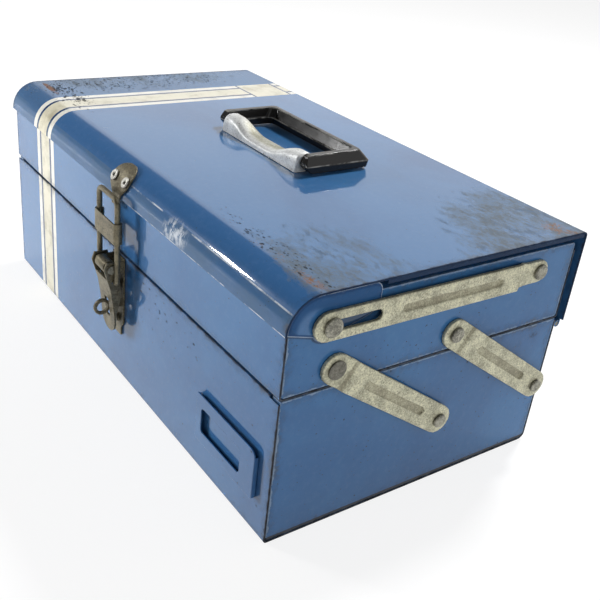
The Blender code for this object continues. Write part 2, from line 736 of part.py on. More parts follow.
def build_linkage(zinc, steel):
    collar = (END_FACE + HEAD_GAP, ARM_OUTER - HEAD_GAP)
    step_face = ARM_INNER + ARM_THICK
    flat_face = ARM_OUTER + ARM_THICK
    for side in ("right", "left"):
        def sided(bm, right=(side == "right")):
            return bm if right else mirrored(bm)

        add("front_arm_" + side, sided(short_arm(FRONT_UPPER, FRONT_LOWER)), zinc, "front_arm_axis")
        add("rear_arm_" + side, sided(short_arm(REAR_UPPER, REAR_LOWER)), zinc, "rear_arm_axis")
        add("lid_arm_" + side, sided(long_arm()), zinc, "lid_arm_axis")
        for name, place in (("front", FRONT_LOWER), ("rear", REAR_LOWER)):
            pin = along_x(wall_pin(flat_face, LOWER_HEAD_RADIUS, collar), place)
            add(name + "_lower_pin_" + side, sided(pin), steel)
        for name, place in (("front", FRONT_UPPER), ("rear", REAR_UPPER)):
            pin = along_x(wall_pin(step_face, UPPER_HEAD_RADIUS), place)
            add(name + "_upper_pin_" + side, sided(pin), steel, "tray_axis")
        pivot = along_x(wall_pin(step_face, UPPER_HEAD_RADIUS), LID_ARM_PIVOT)
        add("lid_arm_pivot_" + side, sided(pivot), steel, "tray_axis")
        add("guide_pin_" + side, sided(along_x(guide_pin(), GUIDE_PIN)), steel, "lid_arm_axis")


def build_label_frame(paint):
    corners = [(LABEL_X[0], LABEL_Z[0]), (LABEL_X[1], LABEL_Z[0])]
    corners += [(LABEL_X[1], LABEL_Z[1]), (LABEL_X[0], LABEL_Z[1])]
    outline = rounded(corners, (PAN_CORNER, PAN_CORNER, LABEL_CORNER, PAN_CORNER))
    window = rounded([(LABEL_WINDOW_X[0], LABEL_WINDOW_Z[0]), (LABEL_WINDOW_X[1], LABEL_WINDOW_Z[0]),
                      (LABEL_WINDOW_X[1], LABEL_WINDOW_Z[1]), (LABEL_WINDOW_X[0], LABEL_WINDOW_Z[1])],
                     (WINDOW_CORNER, WINDOW_CORNER, WINDOW_CORNER, WINDOW_CORNER))
    face = -HALF_Y - LABEL_STANDOFF
    side_top = LABEL_Z[1] - LABEL_CORNER - FIT_GAP

    def rim(index):
        return min(outline[index][1], outline[(index + 1) % len(outline)][1]) < side_top

    add("label_frame", panel(outline, [window], front_on, face + SHEET, face, WALL_Y, rim, SHEET), paint)


def along_y(bm, x, z):
    """Lays a turned piece along y, its own z reading as y."""
    turn = Matrix(((1.0, 0.0, 0.0, x), (0.0, 0.0, 1.0, 0.0), (0.0, -1.0, 0.0, z), (0.0, 0.0, 0.0, 1.0)))
    bm.transform(turn)
    return bm


def build_latch_base(metal, box):
    face = WALL_Y - BASE_THICK
    tab = BASE_HALF * 0.55
    shoulder = BASE_Z[0] + BASE_HALF
    half_points = [(tab, BASE_Z[0]), (tab, shoulder - tab / 2.0), (BASE_HALF, shoulder + tab / 2.0),
                   (BASE_HALF, EAR_BOTTOM), (BASE_HALF, EAR_TOP), (BASE_HALF, BASE_Z[1])]
    outline = [(LATCH_X + x, z) for x, z in half_points]
    outline += [(LATCH_X - x, z) for x, z in reversed(half_points)]
    holes = [circle((LATCH_X, z), RIVET_RADIUS + BORE_GAP, 10) for z in RIVET_Z]

    def rim(index):
        follow = (index + 1) % len(outline)
        low = min(outline[index][1], outline[follow][1])
        high = max(outline[index][1], outline[follow][1])
        return low > EAR_BOTTOM - FIT_GAP and high < EAR_TOP + FIT_GAP

    front = LEVER_AXIS[0] - EAR_RADIUS
    bm = panel(outline, holes, front_on, face, WALL_Y, front, rim, EAR_THICK)
    corner = [edge for edge in bm.edges if all(abs(vert.co.y - front) < 1e-6 for vert in edge.verts)
              and abs(edge.verts[0].co.z - edge.verts[1].co.z) < 1e-6]
    bmesh.ops.bevel(bm, geom=corner, offset=EAR_RADIUS * 0.8, segments=3, profile=0.5, affect="EDGES")
    base = add("latch_base", close_up(bm), metal)
    bore_rod = rod(LEVER_PIN_RADIUS + BORE_GAP, -LEVER_HALF * 2.0, LEVER_HALF * 2.0, 14)
    lever_bore = cutter("lever_bore", along_x(bore_rod, LEVER_AXIS, LATCH_X))
    cut(base, lever_bore)
    head = RIVET_RADIUS * 1.8
    inside = -HALF_Y + SHEET + HEAD_GAP
    for name, z in zip(("lower", "upper"), RIVET_Z):
        profile = [(0.0, face - HEAD_GAP - RIVET_HEAD), (head * 0.7, face - HEAD_GAP - RIVET_HEAD)]
        profile += [(head, face - HEAD_GAP - RIVET_HEAD * 0.4), (head, face - HEAD_GAP)]
        profile += [(RIVET_RADIUS, face - HEAD_GAP)]
        profile += [(RIVET_RADIUS, inside), (head, inside)]
        profile += [(head, inside + RIVET_HEAD), (0.0, inside + RIVET_HEAD)]
        add("latch_rivet_" + name, along_y(turned(profile, 10), LATCH_X, z), metal)
        tool = rod(RIVET_RADIUS + BORE_GAP, -HALF_Y - SHEET, -HALF_Y + SHEET * 2.0, 10)
        cut(box, cutter("wall_bore_" + name, along_y(tool, LATCH_X, z)))
    return lever_bore


def build_eye(metal):
    stem = -HALF_Y - FIT_GAP - BASE_THICK - FIT_GAP
    half = EYE_STEM / 2.0
    angle = math.degrees(math.asin(half / EYE_RADIUS))
    outline = [(stem, EYE_CENTRE[1] - half), (stem, EYE_CENTRE[1] + half)]
    outline += arc(EYE_CENTRE, EYE_RADIUS, angle, 360.0 - angle, 16)
    low = LATCH_X - EYE_THICK / 2.0
    hole = circle(EYE_CENTRE, EYE_HOLE, 16)
    add("padlock_eye", panel(outline, [hole], side_on, low, low + EYE_THICK), metal)


def build_lever(metal, lever_bore):
    brow_z = LEVER_AXIS[1] - LEVER_BROW_BELOW
    shape = [(LEVER_AXIS[0] + LEVER_TIP_IN, LEVER_TIP_Z),
             (LEVER_AXIS[0] + LEVER_KNEE_IN, LEVER_AXIS[1] - LEVER_KNEE_BELOW),
             (LEVER_AXIS[0] - LEVER_BROW_OUT, brow_z), (LEVER_AXIS[0] - LEVER_CROWN_OUT, LEVER_TOP)]

    def front(z):
        for first, second in zip(shape, shape[1:]):
            if z <= second[1] + 1e-9:
                share = (z - first[1]) / (second[1] - first[1])
                return first[0] + (second[0] - first[0]) * share
        return shape[-1][0]

    round_steps = 5
    levels = []
    spread = []
    for index in range(round_steps):
        lean = math.radians(90.0 * (index + 0.4) / round_steps)
        levels.append(LEVER_TIP_Z + LEVER_HALF * (1.0 - math.cos(lean)))
        spread.append(math.sin(lean))
    levels += [LEVER_SLOT_Z[0], LEVER_FLANGE_BOTTOM, LEVER_SLOT_Z[1], brow_z, LEVER_WEB_TOP]
    path = [(front(z), z) for z in levels]
    path += [(front(LEVER_AXIS[1]), LEVER_AXIS[1]), (front(LEVER_AXIS[1]) + SHEET * 2.0, LEVER_TOP)]
    spread += [1.0] * (len(path) - round_steps)
    inner_x = LEVER_HALF - LEVER_SHEET
    stations = [-LEVER_HALF, -inner_x, -LEVER_SLOT_HALF, LEVER_SLOT_HALF, inner_x, LEVER_HALF]

    def keep(i, j):
        slot = i == 2 and j in (round_steps, round_steps + 1)
        opened = i in (1, 2, 3) and j >= round_steps + 4
        return not slot and not opened

    bm = sheet(path, offset(path, -LEVER_SHEET), stations, side_on, keep, spread)
    bmesh.ops.translate(bm, vec=(LATCH_X, 0.0, 0.0), verts=bm.verts[:])
    for sign in (-1.0, 1.0):
        strip = []
        for face in bm.faces:
            centre = face.calc_center_median()
            away = sign * (centre.x - LATCH_X)
            if inner_x < away < LEVER_HALF and face.normal.y > 0.5 and centre.z > LEVER_FLANGE_BOTTOM:
                strip.append(face)
        grown = bmesh.ops.extrude_face_region(bm, geom=strip)
        for item in grown["geom"]:
            if isinstance(item, bmesh.types.BMVert):
                item.co.y = LEVER_FLANGE_REAR if item.co.z > LEVER_SLOT_Z[1] - SHEET else item.co.y + SHEET
        bmesh.ops.delete(bm, geom=[face for face in strip if face.is_valid], context="FACES_ONLY")
    lever = add("latch_lever", close_up(bm), metal, "lever_axis")
    cut(lever, lever_bore)
    hook = along_x(rod(BAIL_WIRE + BORE_GAP, -LEVER_HALF * 2.0, LEVER_HALF * 2.0, 12), BAIL_PIVOT, LATCH_X)
    cut(lever, cutter("bail_bore", hook))
    head = LEVER_PIN_RADIUS * 1.5
    out = LEVER_HALF + HEAD_GAP
    profile = [(0.0, -out - SHEET), (head, -out - SHEET), (head, -out), (LEVER_PIN_RADIUS, -out)]
    profile += [(LEVER_PIN_RADIUS, out), (head, out), (head, out + SHEET), (0.0, out + SHEET)]
    add("lever_pin", along_x(turned(profile, 12), LEVER_AXIS, LATCH_X), metal, "lever_axis")
    half = BASE_HALF - EAR_THICK - FIT_GAP
    bore = LEVER_PIN_RADIUS + BORE_GAP
    section = [(bore, -half), (ROLLER_RADIUS, -half), (ROLLER_RADIUS, half), (bore, half)]
    ring = turned(section, 16, closed=True)
    add("latch_roller", along_x(ring, LEVER_AXIS, LATCH_X), metal, "lever_axis")


def sweep(path, place, section_at):
    """A section carried along a flat path, its sides square to the path."""
    sections = []
    for index, point in enumerate(path):
        here = Vector(point)
        ahead = Vector(path[min(index + 1, len(path) - 1)]) - here
        behind = here - Vector(path[max(index - 1, 0)])
        along = (ahead.normalized() if ahead.length else Vector((0.0, 0.0)))
        along = (along + (behind.normalized() if behind.length else Vector((0.0, 0.0)))).normalized()
        normal = Vector((-along.y, along.x))
        ring = []
        for across, high in section_at(index):
            spot = here + normal * across
            ring.append(place(spot.x, spot.y, high))
        sections.append(ring)
    return loft(sections)


def build_bail(metal):
    low = BAIL_PIVOT[1]
    bend = BAIL_WIRE * 1.5
    path = [(-BAIL_HOOK, low)] + arc((-BAIL_HALF + bend, low + bend), bend, 270.0, 180.0, 4)
    path += arc((-BAIL_HALF + BAIL_CORNER, BAIL_TOP - BAIL_CORNER), BAIL_CORNER, 180.0, 90.0, 5)
    path += [(-x, z) for x, z in reversed(path)]

    def place(a, b, c):
        return (LATCH_X + a, BAIL_PIVOT[0] + c, b)

    wire = sweep(path, place, lambda index: circle((0.0, 0.0), BAIL_WIRE, 10))
    add("latch_bail", wire, metal, "bail_axis")
    radius = BAIL_WIRE + BORE_GAP + BAIL_PLATE_THICK
    path = arc((-BAIL_HALF, BAIL_PIVOT[0]), radius, 20.0, 270.0, 10)
    path += arc((BAIL_HALF, BAIL_PIVOT[0]), radius, -90.0, 160.0, 10)
    path = [(LATCH_X + x, y) for x, y in path]
    plate = sheet(path, offset(path, BAIL_PLATE_THICK), list(BAIL_PLATE_Z), plan_on)
    add("bail_plate", plate, metal, "bail_axis")


def build_keeper(metal, steel, lid):
    radius = LID_ROLL + FIT_GAP + KEEPER_THICK
    tip = [(ROLL_Y - radius - KEEPER_THICK, KEEPER_TIP_Z)]
    tip += [(ROLL_Y - radius - KEEPER_THICK * 0.3, KEEPER_TIP_Z + SHEET)]
    tip += [(ROLL_Y - radius, KEEPER_TIP_Z + SHEET * 2.5)]
    steps = 14
    path = tip + arc((ROLL_Y, ROLL_Z), radius, 180.0, 180.0 - KEEPER_TOP_ANGLE, steps)
    spread = [KEEPER_TONGUE_HALF * 0.7, KEEPER_TONGUE_HALF * 0.95, KEEPER_TONGUE_HALF]
    for index in range(steps + 1):
        share = index / steps
        grow = min(share / 0.4, 1.0)
        grow = grow * grow * (3.0 - 2.0 * grow)
        half = KEEPER_TONGUE_HALF + (KEEPER_HEAD_HALF - KEEPER_TONGUE_HALF) * grow
        over = max(share - 0.55, 0.0) / 0.47
        spread.append(half * math.sqrt(1.0 - over * over))
    bm = sheet(path, offset(path, -KEEPER_THICK), [-1.0, -0.5, 0.0, 0.5, 1.0], side_on, None, spread)
    bmesh.ops.translate(bm, vec=(LATCH_X, 0.0, 0.0), verts=bm.verts[:])
    keeper = add("keeper", bm, metal, "lid_axis")
    angle = math.radians(180.0 - EYELET_ANGLE)
    outward = Vector((0.0, math.cos(angle), math.sin(angle)))
    across = Vector((1.0, 0.0, 0.0))
    upward = outward.cross(across)
    seat = radius + FIT_GAP + SHEET * 0.3
    for name, sign in (("left", -1.0), ("right", 1.0)):
        turn = Matrix((across, upward, outward)).transposed().to_4x4()
        frame = Matrix.Translation((LATCH_X + sign * EYELET_HALF, ROLL_Y, ROLL_Z)) @ turn
        end = LID_ROLL - SHEET * 1.5
        profile = [(EYELET_HOLE, end), (EYELET_TUBE, end), (EYELET_TUBE, seat), (EYELET_RADIUS, seat)]
        profile += [(EYELET_RADIUS, seat + SHEET * 0.4), (EYELET_RADIUS * 0.85, seat + SHEET * 0.8)]
        profile += [(EYELET_TUBE * 1.2, seat + SHEET * 0.8), (EYELET_HOLE, seat + SHEET * 0.4)]
        ring = turned(profile, 14, closed=True)
        ring.transform(frame)
        add("keeper_eyelet_" + name, ring, steel, "lid_axis")
        tool = rod(EYELET_TUBE + BORE_GAP, LID_ROLL - SHEET * 3.0, seat + SHEET, 12)
        tool.transform(frame)
        bore = cutter("eyelet_bore_" + name, tool)
        cut(keeper, bore)
        cut(lid, bore)


def arch(half, foot, top, steps):
    """An arched section, flat at the foot, in (y, z)."""
    spring = foot + SHEET * 1.5
    points = [(half, foot)]
    for index in range(steps + 1):
        angle = math.pi * index / steps
        lean = math.cos(angle)
        height = spring + (top - spring) * math.sin(angle) ** 0.7
        points.append((half * math.copysign(abs(lean) ** 0.7, lean), height))
    points.append((-half, foot))
    return points


def build_handle_base(metal, steel, lid):
    foot = LID_TOP + FIT_GAP
    inner = HANDLE_HALF - HANDLE_END_LENGTH
    soft = SHEET * 1.5
    half_run = [(HANDLE_HALF, HANDLE_END_TOP - soft), (HANDLE_HALF - soft, HANDLE_END_TOP)]
    high = HANDLE_HALF - HANDLE_END_LENGTH * 0.6
    for index in range(8):
        share = index / 7.0
        ease = share * share * (3.0 - 2.0 * share)
        level = HANDLE_END_TOP + (HANDLE_LOW_TOP - HANDLE_END_TOP) * ease
        half_run.append((high + (HANDLE_DIP_HALF - high) * share, level))
    run = [(-x, top) for x, top in half_run] + [(x, top) for x, top in reversed(half_run)]
    sections = []
    for x, top in run:
        half = HANDLE_BASE_HALF_Y - (soft * 0.5 if abs(x) >= HANDLE_HALF else 0.0)
        sections.append([(HANDLE_X + x, HANDLE_Y + y, z) for y, z in arch(half, foot, top, 10)])
    base = add("handle_base", loft(sections), metal, "lid_axis")
    bores = []
    for name, sign in (("left", -1.0), ("right", 1.0)):
        start = HANDLE_HALF - HANDLE_END_LENGTH * 0.5
        end = HANDLE_HALF + GRIP_SIDE_GAP + GRIP_ARM_WIDTH * 0.7
        places = sorted((sign * start, sign * end))
        pin = along_x(rod(HANDLE_PIN_RADIUS, places[0], places[1], 10), HANDLE_AXIS, HANDLE_X)
        add("handle_pin_" + name, pin, steel, "lid_axis")
        places = (places[0] - BORE_GAP, places[1] + BORE_GAP)
        tool = along_x(rod(HANDLE_PIN_RADIUS + BORE_GAP, places[0], places[1], 10), HANDLE_AXIS, HANDLE_X)
        bores.append(cutter("handle_bore_" + name, tool))
        x = HANDLE_X + sign * inner * 0.7
        low = LID_TOP - SHEET - HEAD_GAP
        shank = RIVET_RADIUS
        top = foot + SHEET * 3.0
        under = low - RIVET_HEAD
        profile = [(0.0, under), (shank * 2.0, under), (shank * 2.0, low)]
        profile += [(shank, low), (shank, top), (0.0, top)]
        rivet = turned(profile, 10)
        bmesh.ops.translate(rivet, vec=(x, HANDLE_Y, 0.0), verts=rivet.verts[:])
        add("handle_rivet_" + name, rivet, steel, "lid_axis")
        tool = rod(shank + BORE_GAP, low - RIVET_HEAD, top + BORE_GAP, 10)
        bmesh.ops.translate(tool, vec=(x, HANDLE_Y, 0.0), verts=tool.verts[:])
        bore = cutter("handle_rivet_bore_" + name, tool)
        cut(base, bore)
        cut(lid, bore)
    cut(base, *bores)
    return bores


def grip_outline(level):
    """The grip's plan at one height, an angular U with softened rear corners."""
    rise, spread, narrow, front, rear, hollow = level
    outer = HANDLE_HALF + GRIP_SIDE_GAP + GRIP_ARM_WIDTH + spread
    inner = HANDLE_HALF + GRIP_SIDE_GAP + narrow
    corners = [(outer, front), (outer, GRIP_REAR + rear), (-outer, GRIP_REAR + rear), (-outer, front)]
    corners += [(-inner, front), (-inner, hollow), (inner, hollow), (inner, front)]
    inside = GRIP_CORNER * 0.7
    radii = (0.0, GRIP_CORNER, GRIP_CORNER, 0.0, 0.0, inside, inside, 0.0)
    return [(HANDLE_X + x, y, LID_TOP + rise) for x, y in rounded(corners, radii, 3)]


def build_grip(black, bores):
    outlines = [grip_outline(level) for level in GRIP_LEVELS]
    grip = add("handle_grip", loft(outlines), black, "handle_axis")
    cut(grip, *bores)


def main():
    clear_scene()
    paint = make_material("blue_paint", (0.035, 0.115, 0.30), 0.32, 0.0)
    zinc = make_material("dull_zinc", (0.42, 0.40, 0.33), 0.5, 0.9)
    tan = make_material("latch_metal", (0.33, 0.30, 0.22), 0.45, 0.9)
    steel = make_material("bright_steel", (0.62, 0.61, 0.58), 0.3, 1.0)
    silver = make_material("handle_silver", (0.72, 0.72, 0.70), 0.4, 0.6)
    black = make_material("grip_black", (0.01, 0.01, 0.011), 0.25, 0.0)
    joint("lid_axis", (0.0, *HINGE_AXIS))
    joint("front_arm_axis", (0.0, *FRONT_LOWER))
    joint("rear_arm_axis", (0.0, *REAR_LOWER))
    joint("tray_axis", (0.0, *FRONT_UPPER), "front_arm_axis")
    joint("lid_arm_axis", (0.0, *LID_ARM_PIVOT), "tray_axis")
    joint("handle_axis", (HANDLE_X, *HANDLE_AXIS), "lid_axis")
    joint("lever_axis", (LATCH_X, *LEVER_AXIS))
    joint("bail_axis", (LATCH_X, *BAIL_PIVOT), "lever_axis")
    box = build_body(paint)
    build_tray(paint)
    build_hinge(paint, steel)
    lid = build_lid_shell(paint)
    build_cheeks(paint)
    build_linkage(zinc, steel)
    build_label_frame(paint)
    lever_bore = build_latch_base(tan, box)
    build_eye(tan)
    build_lever(tan, lever_bore)
    build_bail(tan)
    build_keeper(tan, steel, lid)
    bores = build_handle_base(silver, steel, lid)
    build_grip(black, bores)


main()
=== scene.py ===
"""Dresses the tool caddy: enamelled sheet, zinc arms, tarnished draw latch, silver and black handle."""

import math

import bmesh
import bpy
from bpy.props import FloatProperty, FloatVectorProperty, PointerProperty
from mathutils import Matrix, Vector


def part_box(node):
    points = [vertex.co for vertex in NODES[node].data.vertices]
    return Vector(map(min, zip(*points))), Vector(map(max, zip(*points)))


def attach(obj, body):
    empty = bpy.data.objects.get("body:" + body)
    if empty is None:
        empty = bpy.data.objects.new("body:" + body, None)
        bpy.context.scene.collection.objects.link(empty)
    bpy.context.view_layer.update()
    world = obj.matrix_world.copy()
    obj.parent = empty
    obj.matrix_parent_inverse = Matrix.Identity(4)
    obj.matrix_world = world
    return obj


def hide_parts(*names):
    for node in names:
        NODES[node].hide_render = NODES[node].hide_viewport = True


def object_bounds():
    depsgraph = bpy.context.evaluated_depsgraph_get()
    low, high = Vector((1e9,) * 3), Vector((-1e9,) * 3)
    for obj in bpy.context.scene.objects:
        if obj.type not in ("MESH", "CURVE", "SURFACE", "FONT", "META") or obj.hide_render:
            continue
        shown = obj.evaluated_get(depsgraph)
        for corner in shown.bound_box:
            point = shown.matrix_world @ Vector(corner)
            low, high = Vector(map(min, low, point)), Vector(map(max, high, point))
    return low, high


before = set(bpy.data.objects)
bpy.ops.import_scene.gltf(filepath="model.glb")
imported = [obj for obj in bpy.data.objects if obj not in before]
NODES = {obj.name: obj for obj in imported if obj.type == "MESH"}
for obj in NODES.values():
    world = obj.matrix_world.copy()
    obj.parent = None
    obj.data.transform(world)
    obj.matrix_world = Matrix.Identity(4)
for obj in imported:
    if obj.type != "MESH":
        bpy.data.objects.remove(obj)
CAD_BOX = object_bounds()

bl_info = {
    "name": "Tool Caddy Dresser",
    "version": (1, 0, 0),
    "blender": (4, 5, 0),
    "location": "View3D > Sidebar > Caddy",
    "description": "Builds the looks of a two-tier steel tool caddy around its solids",
    "category": "Object",
}

SIDES = ("left", "right")


def node_low(name):
    """Lowest corner of a solid at rest."""
    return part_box(name)[0]


def node_high(name):
    """Highest corner of a solid at rest."""
    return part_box(name)[1]


def node_middle(name):
    """Middle of a solid's box at rest."""
    return (node_low(name) + node_high(name)) / 2.0


# Places taken from the solids, in metres
BODY_FRONT = node_low("body_wrapper").y
LID_FRONT = node_low("lid_shell").y
LID_TOP = node_high("lid_shell").z
HANDLE_X = node_middle("handle_base").x
NOSE_PIN = node_middle("guide_pin_right")
END_FACE = 0.2097

# The lid's front roll, seen from its end
ROLL_RADIUS = 0.0220
ROLL_Y = LID_FRONT + ROLL_RADIUS
ROLL_Z = LID_TOP - ROLL_RADIUS


def colour_setting(name, description, default):
    """A colour for the panel."""
    return FloatVectorProperty(
        name=name, description=description, subtype="COLOR", size=3, min=0.0, max=1.0, default=default)


def length_setting(name, description, default, **limits):
    """A length for the panel, in metres."""
    return FloatProperty(
        name=name, description=description, subtype="DISTANCE", unit="LENGTH", default=default, **limits)


def power_setting(name, description, default):
    """A lamp's power for the panel."""
    return FloatProperty(name=name, description=description, unit="POWER", default=default, min=0.0)


class CaddyEnamel(bpy.types.PropertyGroup):
    """Colours and wear of the painted sheet."""

    paint: colour_setting("Paint", "Colour of the enamel on body, tray and lid", (0.044, 0.156, 0.352))
    # Deep paint also stands in for painted shade over the lid's front roll
    deep_paint: colour_setting("Deep paint", "Colour of the enamel's darker patches", (0.034, 0.118, 0.285))
    cream: colour_setting("Cream", "Colour of the broad middle band of the stripe", (0.700, 0.660, 0.510))
    white: colour_setting("White", "Colour of the two narrow bands of the stripe", (0.790, 0.770, 0.690))
    rust: colour_setting("Rust", "Colour of rust where the enamel has gone", (0.190, 0.078, 0.022))
    bare: colour_setting("Bare steel", "Colour of the steel in chips and scratches", (0.026, 0.030, 0.036))
    stripe_x: length_setting("Stripe place", "Middle of the stripe along the caddy", -0.1415)
    stripe_half: length_setting("Stripe half", "Half of the stripe's width", 0.0185, min=0.004, max=0.05)
    wear: FloatProperty(
        name="Wear", description="How much of the enamel is chipped and stained", subtype="FACTOR",
        default=1.0, min=0.0, max=2.0)


class CaddyFittings(bpy.types.PropertyGroup):
    """Colours and edge sizes of the metal fittings."""

    zinc: colour_setting("Zinc", "Colour of the dull plating on the arms", (0.560, 0.545, 0.395))
    latch: colour_setting("Latch", "Colour of the tarnished latch sheet", (0.205, 0.180, 0.118))
    steel: colour_setting("Steel", "Colour of pins and rivets", (0.330, 0.320, 0.260))
    silver: colour_setting("Silver", "Colour of the bright handle base", (0.720, 0.730, 0.720))
    grip: colour_setting("Grip", "Colour of the moulded grip", (0.014, 0.013, 0.012))
    sheet_edge: length_setting("Sheet edge", "Rounding of sheet edges", 0.00022, min=0.00005, max=0.0005)
    arm_edge: length_setting("Arm edge", "Rounding of the arms' edges", 0.00085, min=0.0001, max=0.0012)


class CaddyStage(bpy.types.PropertyGroup):
    """Floor, light and camera."""

    floor: colour_setting("Floor", "Colour of the studio floor", (0.900, 0.900, 0.900))
    key_power: power_setting("Key light", "Power of the lamp at the upper rear", 28.0)
    strip_power: power_setting("Strip light", "Power of the narrow lamp at the left", 5.0)
    fill_power: power_setting("Fill light", "Power of the low lamp at the front left", 34.0)
    side_power: power_setting("Side light", "Power of the lamp beside the near end", 5.2)
    ceiling: FloatProperty(
        name="Ceiling", description="Brightness of the room above its walls", default=0.10, min=0.0, max=1.0)
    lens: FloatProperty(
        name="Lens", description="Focal length in millimetres", default=51.24, min=10.0, max=200.0)


MERGE_NEAR = 2e-6
FLAT_TURN = math.radians(0.4)


def joined_skin(node):
    """A copy of a solid's mesh with its loose triangles merged and its flat ones joined."""
    bm = bmesh.new()
    bm.from_mesh(NODES[node].data)
    bmesh.ops.remove_doubles(bm, verts=bm.verts[:], dist=MERGE_NEAR)
    bmesh.ops.dissolve_limit(
        bm, angle_limit=FLAT_TURN, use_dissolve_boundaries=False, verts=bm.verts[:], edges=bm.edges[:])
    return bm


def bevel(bm, edges, width, steps, clamp=False):
    """Rounds the given edges."""
    bmesh.ops.bevel(
        bm, geom=edges, offset=width, offset_type="OFFSET", affect="EDGES", segments=steps, profile=0.5,
        material=-1, clamp_overlap=clamp)


def round_edges(bm, width, steps=2, least=28.0):
    """Rounds the edges that turn more than least degrees."""
    limit = math.radians(least)
    sharp = [edge for edge in bm.edges if edge.is_manifold and edge.calc_face_angle(0.0) > limit]
    bevel(bm, sharp, width, steps, True)
    return bm


def turned_rod(profile, steps):
    """Spins a half outline of (radius, height) points round the Z axis."""
    bm = bmesh.new()
    points = [bm.verts.new((radius, 0.0, height)) for radius, height in profile]
    edges = [bm.edges.new(pair) for pair in zip(points, points[1:])]
    bmesh.ops.spin(
        bm, geom=points + edges, cent=(0.0, 0.0, 0.0), axis=(0.0, 0.0, 1.0), dvec=(0.0, 0.0, 0.0),
        angle=math.tau, steps=steps, use_merge=True)
    bmesh.ops.remove_doubles(bm, verts=bm.verts[:], dist=1e-6)
    bmesh.ops.recalc_face_normals(bm, faces=bm.faces[:])
    return bm


def lay_along_x(bm, centre, inward=False):
    """Turns a rod from Z to X about a centre's y and z; inward points it to the left end."""
    turn = Matrix.Rotation(math.radians(-90.0 if inward else 90.0), 4, "Y")
    bm.transform(Matrix.Translation((0.0, centre.y, centre.z)) @ turn)
    return bm


def make_piece(name, bm, body, material, nodes, sharp=46.0, weighted=True):
    """Turns a bmesh into a finished piece that rides on a body and stands for its solids."""
    mesh = bpy.data.meshes.new(name)
    bm.to_mesh(mesh)
    bm.free()
    mesh.materials.clear()
    mesh.materials.append(material)
    mesh.shade_smooth()
    mesh.set_sharp_from_angle(angle=math.radians(sharp))
    piece = bpy.data.objects.new(name, mesh)
    bpy.context.scene.collection.objects.link(piece)
    if weighted:
        flat = piece.modifiers.new("Flat faces stay flat", "WEIGHTED_NORMAL")
        flat.keep_sharp = True
    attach(piece, body)
    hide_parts(*nodes)
    return piece


def finish_node(node, material):
    """Gives a carried-over solid its material."""
    mesh = NODES[node].data
    mesh.materials.clear()
    mesh.materials.append(material)


